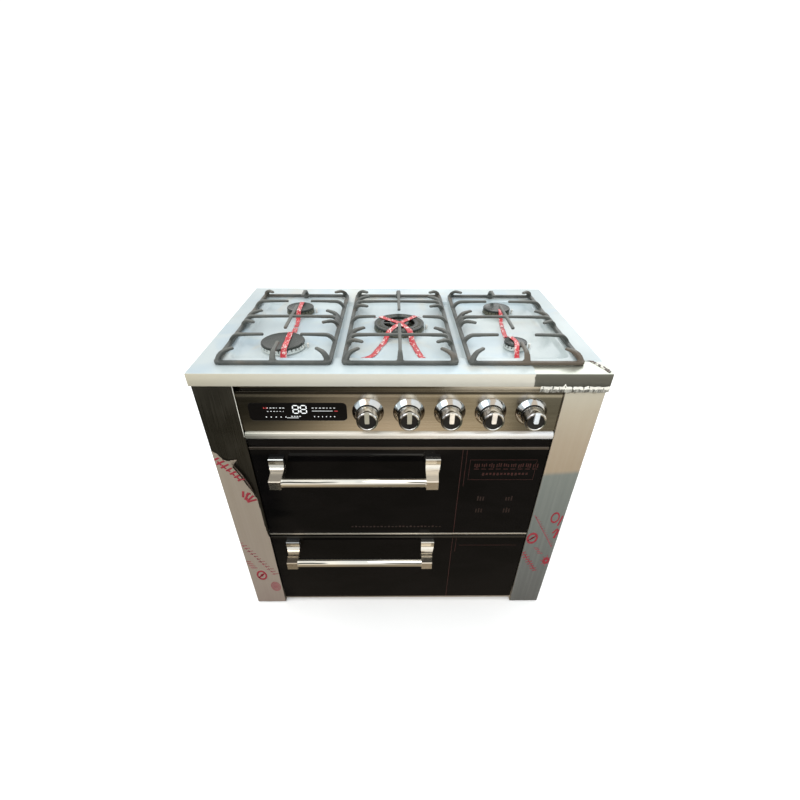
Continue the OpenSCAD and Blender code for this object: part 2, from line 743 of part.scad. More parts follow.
// Bezels, knobs and valve spindles: local z is the distance in front of the panel
bezel_hole_r = spindle_r + 3;
bezel_edge = 1.5;
module at_knob(i) forward_at(knob_xs[i], panel_face, knob_z) children();
module knob_bezels() color(chrome) for (i = [0:4]) at_knob(i) rotate_extrude() polygon([
  [bezel_hole_r, 0], [bezel_r, 0], [bezel_r, bezel_edge], [knob_r + knob_gap + 1, bezel_h],
  [knob_r + knob_gap, bezel_h], [knob_r + knob_gap, bezel_floor], [bezel_hole_r, bezel_floor]]);
knob_base = bezel_floor + push + 1;
socket_depth = 20;
recess_r = knob_face_r - 3.5;
recess_depth = 4;
grip_w = 10;
grip_proud = 2;
grip_up = knob_face_r - 1.5;
grip_down = 9;
module knob(i) color(chrome) at_knob(i) difference() {
  union() {
    difference() {
      rotate_extrude() polygon([[0, knob_base], [knob_r - 1, knob_base], [knob_r, knob_base + 1],
        [knob_r, bezel_h + 2], [knob_r - 1.2, bezel_h + 4], [knob_face_r + 1, knob_len - 3],
        [knob_face_r, knob_len - 1], [knob_face_r - 1.5, knob_len], [0, knob_len]]);
      translate([0, 0, knob_len - recess_depth]) cylinder(h = recess_depth + 1, r = recess_r);
    }
    translate([-grip_w / 2, -grip_down, knob_len - recess_depth - 2])
      cube([grip_w, grip_down + grip_up, recess_depth + 2 + grip_proud]);
  }
  translate([0, 0, knob_base - 1]) flatted(spindle_r + spindle_clear, socket_depth + 1,
    spindle_r - spindle_flat + spindle_clear);
}
valve_front = 6;
spindle_back = 24;
spindle_end_gap = push + 1;
spindle_flat = 1.2;
// A round bar with a flat on its upper side, the flat at a given height over its middle
module flatted(r, h, flat) difference() {
  cylinder(h = h, r = r);
  translate([-r, flat, -1]) cube([2 * r, r, h + 2]);
}
module spindle(i) color(brass) at_knob(i) {
  translate([0, 0, -spindle_back]) cylinder(h = spindle_back + 1, r = spindle_r);
  flatted(spindle_r, knob_base + socket_depth - spindle_end_gap, spindle_r - spindle_flat);
}
// Each valve's outlet block stands on top of its body
outlet_w = 18;
outlet_d = 16;
outlet_h = 8;
outlet_set = 4;
outlet_in = outlet_set + outlet_d / 2;
module gas_valves() color(brass) for (i = [0:4]) at_knob(i) difference() {
  union() {
    translate([0, 0, -manifold_set]) cylinder(h = manifold_set - valve_front, r = valve_r);
    translate([-outlet_w / 2, 0, -manifold_set + outlet_set])
      cube([outlet_w, valve_r + outlet_h, outlet_d]);
  }
  translate([0, 0, -spindle_back - 1])
    cylinder(h = spindle_back + 1, r = spindle_r + spindle_clear);
}
module knob_1() knob(0);
module knob_2() knob(1);
module knob_3() knob(2);
module knob_4() knob(3);
module knob_5() knob(4);
module spindle_1() spindle(0);
module spindle_2() spindle(1);
module spindle_3() spindle(2);
module spindle_4() spindle(3);
module spindle_5() spindle(4);

// Gas manifold with its feet, the supply pipes to the burner cups and the rear inlet
manifold_wall = 2;
feed_r = 8;
inlet_nut_r = inlet_r + 4;
inlet_nut_h = 8;
outlet_z = knob_z + valve_r + outlet_h;
elbow_wall = 1.5;
module supply_pipe(i) {
  b = burners[i];
  valve_y = panel_face + manifold_set - outlet_in;
  nozzle_z = tray_under - cup_h - nozzle_h;
  elbow = pipe_r + elbow_wall;
  run_z = nozzle_z - elbow;
  valve_x = knob_xs[i];
  rod([valve_x, valve_y, outlet_z], [valve_x, valve_y, run_z], pipe_r);
  rod([valve_x, valve_y, run_z], [b[0], b[1], run_z], pipe_r);
  for (p = [[valve_x, valve_y], [b[0], b[1]]])
    translate([p[0], p[1], run_z]) rotate([0, 0, atan2(b[1] - valve_y, b[0] - valve_x)])
      cube(2 * elbow, center = true);
}
bracket_w = 20;
bracket_d = 12;
bracket_ins = [20, 60];
module gas_manifold() color(alloy) {
  w = manifold_w / 2;
  in = w - manifold_wall;
  difference() {
    box([manifold_x0, manifold_y - w, knob_z - w], [manifold_x1, manifold_y + w, knob_z + w]);
    box([manifold_x0 + manifold_wall, manifold_y - in, knob_z - in],
        [manifold_x1 - manifold_wall, manifold_y + in, knob_z + in]);
  }
  for (x = [manifold_x0 + bracket_ins[0], manifold_x1 - bracket_ins[1]])
    box([x, manifold_y - bracket_d / 2, shield_z],
        [x + bracket_w, manifold_y + bracket_d / 2, knob_z - w]);
  nut_y = back_out + inlet_nut_h;
  rod([inlet_x, manifold_y + w, knob_z], [inlet_x, nut_y - 2, knob_z], feed_r);
  rod([inlet_x, back_out, knob_z], [inlet_x, nut_y, knob_z], inlet_nut_r);
  rod([inlet_x, nut_y, knob_z], [inlet_x, nut_y + inlet_len, knob_z], inlet_r);
}
module supply_pipes() color(alloy) for (i = [0:4]) supply_pipe(i);

cord_r = 3.5;
module cable_gland() color(enamel) forward_at(gland_x, back_out, knob_z) difference() {
  union() {
    translate([0, 0, -10]) cylinder(h = 10, r = gland_r + 4);
    cylinder(h = sheet, r = gland_r);
    translate([0, 0, sheet]) cylinder(h = 4, r = gland_r + 4);
  }
  translate([0, 0, -11]) cylinder(h = 12 + sheet + 4, r = cord_r);
}

// Oven
flange = 15;
rib_set = 4;
rib_zs = [shelf_z - 60, shelf_z, shelf_z + 30 - rib_h];
heat_hole_xs = [-200, 200];
heat_hole_n = 6;
heat_hole_pitch = 60;
heat_hole_r = 6;
module oven_liner() color(dark_steel) difference() {
  w = oven_w / 2;
  y_a = surround_back + rib_set;
  union() {
    difference() {
      union() {
        box([-w - liner_t, surround_back, oven_z0 - liner_t],
            [w + liner_t, oven_back + liner_t, oven_z1 + liner_t]);
        box([-w - flange, surround_back, oven_z0 - flange],
            [w + flange, surround_back + liner_t, oven_z1 + flange]);
      }
      box([-w, surround_back - 1, oven_z0], [w, oven_back, oven_z1]);
    }
    for (z = rib_zs) both_sides()
      box([w - rib_w, y_a, oven_z0 + z], [w, oven_back, oven_z0 + z + rib_h]);
    both_sides() box([w - rib_w, y_a, oven_z0], [w, oven_back, oven_z0 + plate_z]);
    difference() {
      box([-w + rib_w, y_a, oven_z0 + plate_z - sheet], [w - rib_w, oven_back, oven_z0 + plate_z]);
      for (x = heat_hole_xs, i = [1:heat_hole_n])
        translate([x, surround_back + i * heat_hole_pitch, oven_z0])
          cylinder(h = plate_z + 1, r = heat_hole_r, $fn = 24);
    }
  }
  forward_at(lamp_x, oven_back + liner_t + 1, lamp_z) cylinder(h = liner_t + 2, r = lamp_r + 1);
  forward_at(0, oven_back + liner_t + 1, tube_z) cylinder(h = liner_t + 2, r = oven_tube_r);
}
module oven_insulation() color(wool) difference() {
  w = oven_w / 2 + liner_t;
  box([-w - wool_t, surround_back + liner_t, oven_z0 - liner_t - wool_t],
      [w + wool_t, oven_back + liner_t + wool_t, oven_z1 + liner_t + wool_t]);
  box([-w, surround_back, oven_z0 - liner_t], [w, oven_back + liner_t, oven_z1 + liner_t]);
  rod([lamp_x, oven_back, lamp_z], [lamp_x, back_in, lamp_z], lamp_r + 5);
  rod([0, oven_back, tube_z], [0, back_in, tube_z], oven_tube_r);
}
tube_set = 60;
tube_wall = 1.5;
tube_end = 4;
strut_w = 24;
strut_t = 4;
strut_front_in = 30;
strut_back_in = 40;
port_n = 14;
port_r = 1.5;
port_pitch = 20;
port_in = 45;
module oven_burner() color(dark_steel) difference() {
  y_a = surround_back + tube_set;
  union() {
    rod([0, y_a, tube_z], [0, back_in, tube_z], oven_tube_r);
    for (y = [y_a + strut_front_in, oven_back - strut_back_in])
      box([-strut_w / 2, y, oven_z0], [strut_w / 2, y + strut_t, tube_z]);
  }
  rod([0, y_a + tube_end, tube_z], [0, back_in - tube_end, tube_z], oven_tube_r - tube_wall);
  for (i = [0:port_n - 1]) {
    y = y_a + port_in + i * port_pitch;
    rod([-oven_tube_r - 1, y, tube_z], [oven_tube_r + 1, y, tube_z], port_r);
  }
}
lamp_socket = 4;
lens_h = 8;
lens_tip_h = 3;
lens_tip_r = lamp_r - 4;
module oven_lamp() color(lamp_glass) forward_at(lamp_x, oven_back + liner_t, lamp_z) {
  translate([0, 0, -wool_t]) cylinder(h = wool_t, r = lamp_r + lamp_socket);
  cylinder(h = lens_h, r = lamp_r);
  translate([0, 0, lens_h]) cylinder(h = lens_tip_h, r1 = lamp_r, r2 = lens_tip_r);
}
seal_w = 8;
seal_set = 5;
seal_r = 10;
module door_seal() color(enamel) {
  depth = surround_gap - seal_gap;
  forward_at(0, surround_front, (oven_z0 + oven_z1) / 2) linear_extrude(depth) difference() {
    polygon(round_rect(oven_w + 2 * (seal_set + seal_w), oven_h + 2 * (seal_set + seal_w),
                       seal_r + seal_w));
    polygon(round_rect(oven_w + 2 * seal_set, oven_h + 2 * seal_set, seal_r));
  }
}
wire_n = 22;
module oven_shelf() color(chrome) {
  x = shelf_x - rod_r;
  y_a = shelf_front + rod_r;
  y_b = shelf_front + shelf_d - rod_r;
  z = shelf_mid_z;
  both_sides() rod([x, y_a, z], [x, y_b, z], rod_r);
  for (y = [y_a, y_b]) rod([-x, y, z], [x, y, z], rod_r);
  for (sx = [-1, 1], y = [y_a, y_b]) translate([sx * x, y, z]) sphere(r = rod_r, $fn = 24);
  for (i = [1:wire_n]) {
    wx = -x + 2 * x * i / (wire_n + 1);
    rod([wx, y_a, z], [wx, y_b, z], wire_r);
  }
}
pan_w = 420;
pan_d = 320;
pan_lip = 8;
pan_set = 35;
module baking_tray() color(enamel) {
  z = shelf_mid_z + wire_r;
  y = shelf_front + pan_set;
  difference() {
    union() {
      box([-pan_w / 2, y, z], [pan_w / 2, y + pan_d, z + pan_h]);
      box([-pan_w / 2 - pan_lip, y - pan_lip, z + pan_h - sheet],
          [pan_w / 2 + pan_lip, y + pan_d + pan_lip, z + pan_h]);
    }
    box([-pan_w / 2 + sheet, y + sheet, z + sheet],
        [pan_w / 2 - sheet, y + pan_d - sheet, z + pan_h + 1]);
  }
}

// Hinge pins on the stiles, and the blocks in the door that turn on them
pin_disc_t = side_clear - 0.5;
pin_disc_r = hinge_r + 3.5;
pin_reach = 16;
module hinge_pins() color(dark_steel) both_sides() {
  rod([open_x - side_clear - pin_reach, hinge_y, hinge_z], [open_x, hinge_y, hinge_z], hinge_r);
  rod([open_x - pin_disc_t, hinge_y, hinge_z], [open_x, hinge_y, hinge_z], pin_disc_r);
}

// Fronts: a dark glass held between two aluminium strips
glass_seat = 3;
trim_proud = 0.6;
module front_glass(z0, z1) color(black_glass)
  box([-front_x, glass_face, z0 + trim_low_h - glass_seat],
      [front_x, glass_back, z1 - trim_top_h + glass_seat]);
// One strip with its edge at z_edge and its lip over the glass at z_lip; s is +1 for a top strip
module trim_strip(z_edge, z_lip, s) along_x(-front_x, front_x, [
  [door_face - trim_proud, z_lip], [glass_face, z_lip], [glass_face, z_lip + s * glass_seat],
  [glass_back, z_lip + s * glass_seat], [glass_back, z_lip], [glass_back + trim_wall, z_lip],
  [glass_back + trim_wall, z_edge], [door_face, z_edge],
  [door_face - trim_proud, z_edge - s * trim_proud]]);
module front_trims(z0, z1) color(alloy) {
  trim_strip(z1, z1 - trim_top_h, 1);
  trim_strip(z0, z0 + trim_low_h, -1);
}
// Handle: two posts, and a round bar between their end blocks. A post is a flat top at the glass,
// a step, a hollow sweep and the end block, and its outer side tapers towards the front
post_foot = 8;
post_top_d = 12;
post_step = 9.5;
post_edge = 2;
post_taper = 8;
taper_d = 28;
sweep_r = post_rise - post_half - post_step;
under_r = 14;
under_set = 4;
module handle_post(bar_z) intersection() {
  y = glass_face;
  front = y - post_front;
  top = bar_z + post_half;
  low = bar_z - post_half;
  along_x(0, post_w, concat(
    [[y, bar_z - post_foot], [y, bar_z + post_rise],
     [y - post_top_d + post_edge, bar_z + post_rise], [y - post_top_d, bar_z + post_rise - post_edge]],
    arc(y - post_top_d - sweep_r, top + sweep_r, sweep_r, 0, -90, 6),
    [[front + post_edge, top], [front, top - post_edge], [front, low + post_edge],
     [front + post_edge, low], [front + 2 * post_half, low]],
    arc(y - under_r, bar_z - under_r - under_set, under_r, 150, 60, 4)));
  translate([0, 0, low - 1]) linear_extrude(post_rise + post_half + 2) polygon([
    [-1, y + 1], [-1, front - 1], [post_w - post_taper, front - 1],
    [post_w - post_taper * 0.7, y - taper_d], [post_w, y - post_top_d], [post_w, y + 1]]);
}
module handle(bar_z) color(chrome) {
  bar_y = glass_face - handle_out;
  x_a = handle_x + post_w;
  x_b = handle_x + handle_w - post_w;
  translate([x_b, 0, 0]) handle_post(bar_z);
  translate([x_a, 0, 0]) mirror([1, 0, 0]) handle_post(bar_z);
  rod([x_a, bar_y, bar_z], [x_b, bar_y, bar_z], handle_r);
}
module door_glass() front_glass(door_z0, door_z1);
module door_trims() front_trims(door_z0, door_z1);
module door_handle() handle(door_bar_z);
module drawer_glass() front_glass(drawer_z0, drawer_z1);
module drawer_trims() front_trims(drawer_z0, drawer_z1);
module drawer_handle() handle(drawer_bar_z);

// Steel frame of the door: a shallow pan behind the glass, with hinge blocks at its lower corners
frame_side = 4;
block_w = 22;
block_h = 26;
window_z = (oven_z0 + oven_z1) / 2;
module door_frame() color(dark_steel) difference() {
  x = front_x - frame_side;
  z_a = door_z0 + trim_low_h;
  z_b = door_z1 - trim_top_h;
  union() {
    difference() {
      box([-x, glass_back, z_a], [x, door_back, z_b]);
      box([-x + sheet, glass_back - 1, z_a + sheet], [x - sheet, door_back - sheet, z_b - sheet]);
    }
    both_sides() box([front_x - block_w, glass_back + trim_wall, door_z0 + 1],
                     [front_x, door_back - sheet, door_z0 + block_h]);
  }
  box([-window_w / 2, door_back - sheet - 1, window_z - window_h / 2],
      [window_w / 2, door_back + 1, window_z + window_h / 2]);
  both_sides() rod([front_x - pin_reach - 3, hinge_y, hinge_z], [front_x + 1, hinge_y, hinge_z],
    hinge_r + hinge_clear);
}
inner_glass_t = 4;
inner_glass_lap = 12;
module door_inner_glass() color(smoked_glass)
  box([-window_w / 2 - inner_glass_lap, door_back - sheet - inner_glass_t,
       window_z - window_h / 2 - inner_glass_lap],
      [window_w / 2 + inner_glass_lap, door_back - sheet,
       window_z + window_h / 2 + inner_glass_lap]);

// Drawer: a sheet box behind a backing pan that carries the glass
module drawer_box() color(steel) {
  y1 = drawer_back + box_d;
  z1 = box_z + box_h;
  difference() {
    box([-box_x, drawer_back - sheet, box_z], [box_x, y1, z1]);
    box([-box_x + sheet, drawer_back, box_z + sheet], [box_x - sheet, y1 - sheet, z1 + 1]);
  }
  difference() {
    x = front_x - frame_side;
    z_a = drawer_z0 + trim_low_h;
    z_b = drawer_z1 - trim_top_h;
    box([-x, glass_back, z_a], [x, drawer_back, z_b]);
    box([-x + sheet, glass_back - 1, z_a + sheet], [x - sheet, drawer_back - sheet, z_b - sheet]);
  }
}
runner_y1 = back_in;
slide_len = 450;
module drawer_runners() color(steel) both_sides() {
  x0 = box_x + 1;
  translate([0, runner_y0, runner_z]) rotate([-90, 0, 0]) linear_extrude(runner_y1 - runner_y0)
    polygon([[open_x, -runner_h / 2], [open_x, runner_h / 2], [x0, runner_h / 2],
      [x0, runner_h / 2 - runner_t], [open_x - runner_t, runner_h / 2 - runner_t],
      [open_x - runner_t, -runner_h / 2 + runner_t], [x0, -runner_h / 2 + runner_t],
      [x0, -runner_h / 2]]);
}
module drawer_slides() color(alloy) both_sides() {
  h = runner_h / 2 - runner_t - runner_clear;
  box([box_x, drawer_back + 4, runner_z - h],
      [open_x - runner_t - runner_clear, drawer_back + 4 + slide_len, runner_z + h]);
}

side_panel_left();
side_panel_right();
back_panel();
base_pan();
inner_decks();
front_stile_left();
front_stile_right();
oven_surround();
levelling_feet();
hob_top();
control_panel();
panel_trim();
vent_strip();
display_window();
display_housing();
knob_bezels();
gas_manifold();
gas_valves();
supply_pipes();
burner_cups();
burner_crowns();
spark_electrodes();
oven_liner();
oven_insulation();
oven_burner();
oven_lamp();
door_seal();
hinge_pins();
drawer_runners();
cable_gland();
door_glass();
door_frame();
door_inner_glass();
door_trims();
door_handle();
drawer_box();
drawer_glass();
drawer_trims();
drawer_handle();
drawer_slides();
spindle_1();
spindle_2();
spindle_3();
spindle_4();
spindle_5();
knob_1();
knob_2();
knob_3();
knob_4();
knob_5();
cap_left_front();
cap_left_rear();
cap_centre();
cap_right_rear();
cap_right_front();
grate_left();
grate_centre();
grate_right();
oven_shelf();
baking_tray();
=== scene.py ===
import json
import random
from math import asin, atan2, copysign, cos, degrees, exp, hypot, pi, radians, sin

import bmesh
import bpy
from mathutils import Matrix, Vector, noise

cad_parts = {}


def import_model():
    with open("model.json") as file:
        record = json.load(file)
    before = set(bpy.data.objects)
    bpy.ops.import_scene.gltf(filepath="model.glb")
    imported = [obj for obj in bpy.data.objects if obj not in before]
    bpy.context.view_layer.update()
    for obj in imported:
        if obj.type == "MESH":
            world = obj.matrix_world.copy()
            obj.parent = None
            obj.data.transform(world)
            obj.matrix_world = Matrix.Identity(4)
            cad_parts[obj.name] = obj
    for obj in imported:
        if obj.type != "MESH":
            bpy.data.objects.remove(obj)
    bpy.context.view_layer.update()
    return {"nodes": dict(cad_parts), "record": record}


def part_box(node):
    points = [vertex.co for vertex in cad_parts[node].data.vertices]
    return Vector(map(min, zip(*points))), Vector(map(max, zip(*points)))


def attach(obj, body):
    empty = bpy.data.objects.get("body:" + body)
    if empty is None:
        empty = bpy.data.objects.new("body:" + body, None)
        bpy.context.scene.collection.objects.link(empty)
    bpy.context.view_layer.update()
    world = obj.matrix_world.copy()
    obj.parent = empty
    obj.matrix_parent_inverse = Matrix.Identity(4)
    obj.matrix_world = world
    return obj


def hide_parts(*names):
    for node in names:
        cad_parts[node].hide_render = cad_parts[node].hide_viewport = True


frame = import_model()
nodes = frame["nodes"]
slot_of = {s["node"]: s["material_slot"] for s in frame["record"]["subparts"]}
body_of = {n: body for body, names in frame["record"]["behaviour"]["bodies"].items() for n in names}
MM = 0.001


def at(x, y, z):
    """A point of the row frame, given in millimetres."""
    return Vector((x * MM, y * MM, z * MM))


def box(node):
    """A CAD node's lowest and highest corners in millimetres."""
    lo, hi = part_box(node)
    return lo / MM, hi / MM


def middle(node):
    lo, hi = box(node)
    return (lo + hi) / 2


knob_z = middle("knob_1").z
knob_xs = [middle(f"knob_{i}").x for i in range(1, 6)]
knob_pitch = knob_xs[1] - knob_xs[0]
# sizes of the handles in millimetres, and the heights of the drawer's bar and of the door's
POST_W, POST_HALF, POST_RISE, POST_OUT, BAR_R, COLLAR_R = 36, 13.5, 40, 61.5, 11.8, 12.6
BAR_HEIGHTS = 254, 550
LOOKS = {}


# -------- materials
class Look:
    """A node material whose patterns are fixed to the object."""

    def __init__(self, name, **uniform):
        self.mat = LOOKS[name] = bpy.data.materials.new(name)
        self.mat.use_nodes = True
        self.tree = self.mat.node_tree
        self.shader = self.tree.nodes["Principled BSDF"]
        for socket, value in uniform.items():
            self.shader.inputs[socket.replace("_", " ")].default_value = value
        self.where = self.add("ShaderNodeTexCoord").outputs["Object"]
        split = self.add("ShaderNodeSeparateXYZ")
        self.feed(split.inputs[0], self.where)
        self.x, self.y, self.z = split.outputs

    def add(self, kind, **settings):
        node = self.tree.nodes.new(kind)
        for key, value in settings.items():
            setattr(node, key, value)
        return node

    def feed(self, socket, value):
        """Sets a socket to a number or colour, or links it."""
        if isinstance(value, bpy.types.NodeSocket):
            self.tree.links.new(value, socket)
        elif isinstance(value, tuple):
            socket.default_value = (*value, 1)
        else:
            socket.default_value = value

    def texture(self, kind, scale, output, **inputs):
        """A texture of the object's coordinates times scale, which has a number for each axis."""
        mapping, tex = self.add("ShaderNodeMapping"), self.add(kind)
        mapping.inputs["Scale"].default_value = scale
        self.feed(mapping.inputs["Vector"], self.where)
        self.feed(tex.inputs["Vector"], mapping.outputs[0])
        tex.inputs["Scale"].default_value = 1
        for socket, value in inputs.items():
            tex.inputs[socket].default_value = value
        return tex.outputs[output]

    def noise(self, scale, detail=4, distortion=0):
        """Noise with features about 1/scale metres wide. Scale may have a number for each axis."""
        each = scale if isinstance(scale, tuple) else (scale,) * 3
        return self.texture("ShaderNodeTexNoise", each, "Fac", Detail=detail, Distortion=distortion)

    def cells(self, scale):
        """Crystals about 1/scale metres wide, each with its own tone."""
        return self.texture("ShaderNodeTexVoronoi", (scale,) * 3, "Color")

    def span(self, value, lo, hi, a=0, b=1, smooth=True):
        """Runs from a to b while value runs from lo to hi."""
        node = self.add("ShaderNodeMapRange", interpolation_type="SMOOTHSTEP" if smooth else "LINEAR")
        for socket, v in zip(node.inputs, (value, lo, hi, a, b)):
            self.feed(socket, v)
        return node.outputs["Result"]

    def fall(self, value, lo, hi, a=1):
        """Runs from a to 0 while value runs from lo to hi."""
        return self.span(value, lo, hi, a, 0)

    def between(self, value, a, b, c, d):
        """1 from b to c, falling to 0 at a and at d."""
        return self.times(self.span(value, a, b), self.fall(value, c, d))

    def by_front(self, drawer, door):
        """One number on the drawer's pieces and another on the door's."""
        return self.span(self.z, 0.4, 0.402, drawer, door)

    def math(self, op, a, b=0):
        node = self.add("ShaderNodeMath", operation=op)
        self.feed(node.inputs[0], a)
        self.feed(node.inputs[1], b)
        return node.outputs[0]

    def times(self, a, b):
        return self.math("MULTIPLY", a, b)

    def plus(self, a, b):
        return self.math("ADD", a, b)

    def minus(self, a, b):
        return self.math("SUBTRACT", a, b)

    def blend(self, a, b, share):
        return self.plus(self.times(a, share), self.times(b, 1 - share))

    def waver(self, value, pattern, reach):
        return self.plus(value, self.times(self.minus(pattern, 0.5), reach))

    def mix(self, fac, a, b, kind="MIX"):
        node = self.add("ShaderNodeMix", data_type="RGBA", blend_type=kind)
        for i, value in ((0, fac), (6, a), (7, b)):
            self.feed(node.inputs[i], value)
        return node.outputs[2]

    def tint(self, colour, by):
        return self.mix(1, colour, by, "MULTIPLY")

    def tones(self, pattern, a, b):
        return self.mix(self.span(pattern, 0.3, 0.7), a, b)

    def over(self, base, *layers):
        """Lays each (share, colour) over what comes before it."""
        for share, colour in layers:
            base = self.mix(share, base, colour)
        return base

    def ramp(self, value, *stops):
        """A colour for each place along value, from (place, red, green, blue) stops."""
        node = self.add("ShaderNodeValToRGB")
        lo, hi = stops[0][0], stops[-1][0]
        self.feed(node.inputs[0], self.span(value, lo, hi, smooth=False))
        band = node.color_ramp.elements
        for place, *colour in stops[1:-1]:
            band.new((place - lo) / (hi - lo)).color = (*colour, 1)
        band[0].color, band[-1].color = (*stops[0][1:], 1), (*stops[-1][1:], 1)
        return node.outputs[0]

    def set(self, socket, value):
        self.feed(self.shader.inputs[socket], value)

    def finish(self, colour, rough, relief):
        """Colour, roughness as (pattern, low, high), and relief as (pattern, depth in metres, strength)."""
        self.set("Base Color", colour)
        if isinstance(rough, tuple):
            rough = self.span(rough[0], 0.3, 0.7, *rough[1:])
        self.set("Roughness", rough)
        bump = self.add("ShaderNodeBump")
        for socket, value in zip(("Height", "Distance", "Strength"), (*relief, 1)):
            self.feed(bump.inputs[socket], value)
        self.set("Normal", bump.outputs[0])
        return self.mat


def shade(c, k):
    return tuple(v * k for v in c)


def brushed(name, base, rough, grain, depth=3e-5, **uniform):
    """Brushed metal: fine lines, broad smears and a little unevenness."""
    look = Look(name, Metallic=1, **uniform)
    lines = look.noise(grain, 3)
    both = look.blend(lines, look.noise(7, 3, 0.6), 0.6)
    return look.finish(look.tones(both, shade(base, 0.8), shade(base, 1.1)),
                       (both, rough - 0.07, rough + 0.09), (lines, depth))


def painted_dark_stile_look():
    """Brushed steel painted dark, a painted dark reflection, with painted shade along its inner edge that is
    heavier lower down.
    """
    look = Look("steel_bare_stile", Metallic=1)
    lines = look.noise((900, 900, 9), 3)
    both = look.blend(lines, look.noise(7, 3, 0.6), 0.5)
    # the dark tones are a painted dark reflection on the bare steel
    base = look.tones(both, (0.125, 0.12, 0.105), (0.195, 0.19, 0.168))
    # painted shade along the inner edge, heavier towards the bottom
    edge = look.times(look.span(look.x, -0.359, -0.3584), look.span(look.z, 0.55, 0.76, 0.85, 0.35))
    return look.finish(look.mix(edge, base, (0.03, 0.028, 0.024)), (both, 0.23, 0.39), (lines, 1e-5))


def polished(name, base, rough, speck=140):
    """Chrome or polished metal with faint smears."""
    look = Look(name, Metallic=1)
    smear = look.noise(28, 4, 0.8)
    return look.finish(look.tones(smear, shade(base, 0.93), base), (smear, rough, rough + 0.07),
                       (look.noise(speck, 2), 2e-5))


def coated(name, base, rough, speck=900, depth=3e-5, lift=1.5, **uniform):
    """Enamel, plastic or rubber: a fine mottle over a broad one."""
    look = Look(name, **uniform)
    fine, broad = look.noise(speck, 2), look.noise(14, 4)
    return look.finish(look.tones(look.blend(fine, broad, 0.5), base, shade(base, lift)),
                       (broad, rough, rough + 0.1), (fine, depth))


def iron_look():
    look = Look("cast_iron", Coat_Weight=0.12, Coat_Roughness=0.4)
    grit = look.noise(420, 3)
    # paler specks on the top faces of the supports
    pale_mottle = look.times(look.span(look.z, 0.838, 0.843), grit)
    broad = look.span(look.noise(22, 4, 0.5), 0.35, 0.65)
    base = look.mix(broad, (0.05, 0.056, 0.051), (0.088, 0.093, 0.083))
    corner = look.times(look.span(look.x, 0.16, 0.3), look.fall(look.y, -0.19, -0.14))
    warm = look.plus(look.span(look.noise(13, 3), 0.54, 0.66, 0, 0.5), corner)
    base = look.over(base, (look.math("MINIMUM", warm, 0.75), (0.125, 0.092, 0.062)),
                     (pale_mottle, (0.15, 0.152, 0.135)))
    return look.finish(base, (grit, 0.42, 0.62), (grit, 0.0003))


def glass_look(name, base, rough, red=0):
    look = Look(name, Specular_IOR_Level=0.13)
    haze, dust = look.noise((5, 5, 12.5), 4, 0.9), look.noise(300, 2)
    clear = look.tones(haze, base, (base[0] * 1.9 + red, base[1] * 1.8, base[2] * 1.8))
    return look.finish(clear, (look.times(haze, dust), rough, rough + 0.12), (haze, 4e-5))


def panel_look():
    """Brushed steel of the control panel, with painted shade at its ends and along its top, a painted
    highlight line and painted shade on the ledge at the top; and of the rail above, with a painted reflection
    from dark at the left to cream at the right.
    """
    look = Look("steel_panel", Metallic=1)
    lines = look.noise((7, 900, 420), 3)
    both = look.blend(lines, look.noise(7, 3, 0.6), 0.5)
    # painted shade at the panel's left end
    left = look.times(look.fall(look.x, -0.33, -0.06, 0.84), look.span(look.z, 0.666, 0.7, 0.72, 1))
    # painted shade towards the top and at the right end, a painted highlight line, and painted shade on the
    # top ledge
    face = look.over(look.tones(both, (0.66, 0.6, 0.51), (0.84, 0.78, 0.68)),
                     (look.times(look.span(look.z, 0.672, 0.735), 0.34), (0.16, 0.15, 0.125)),
                     (look.span(look.x, 0.19, 0.3, 0, 0.62), (0.09, 0.1, 0.085)),
                     (left, (0.1, 0.096, 0.08)),
                     (look.span(look.z, 0.7525, 0.7555, 0, 0.6), (0.95, 0.9, 0.8)),
                     (look.span(look.z, 0.76, 0.7618, 0, 0.9), (0.06, 0.052, 0.04)))
    # the rail's painted reflection, dark at the left and cream to the right, with tan streaks
    rail = look.ramp(look.x, (-0.35, 0.038, 0.036, 0.031), (-0.22, 0.07, 0.066, 0.055),
                     (-0.05, 0.2, 0.175, 0.135), (0.08, 0.36, 0.32, 0.25), (0.15, 0.74, 0.66, 0.52),
                     (0.3, 0.86, 0.77, 0.61))
    stripe = look.span(look.noise((2, 2, 420), 2), 0.42, 0.6, 0, 0.5)
    upper = look.span(look.z, 0.7668, 0.7684)
    # the rail's right part is less metallic, so that its painted reflection shows as colour
    plain = look.times(upper, look.span(look.x, 0.04, 0.16))
    look.set("Metallic", look.span(plain, 0, 1, 1, 0.25))
    return look.finish(look.mix(upper, face, look.mix(stripe, rail, (0.3, 0.26, 0.19))), (both, 0.15, 0.25),
                       (lines, 1e-5))


def nose_look():
    """The rounded strip under the panel, with a painted reflection: dark at its left end, whiter to the
    right.
    """
    look = Look("steel_nose", Metallic=0.55)
    lines = look.noise((6, 700, 700), 3)
    base = look.ramp(look.x, (-0.356, 0.18, 0.187, 0.16), (-0.27, 0.43, 0.41, 0.355),
                     (-0.12, 0.66, 0.625, 0.55), (0.05, 0.9, 0.845, 0.755), (0.18, 0.97, 0.95, 0.9),
                     (0.35, 0.86, 0.87, 0.88))
    base = look.mix(look.span(lines, 0.3, 0.7, 0, 0.2), base, (0.45, 0.42, 0.36))
    return look.finish(base, (lines, 0.22, 0.32), (lines, 1e-5))


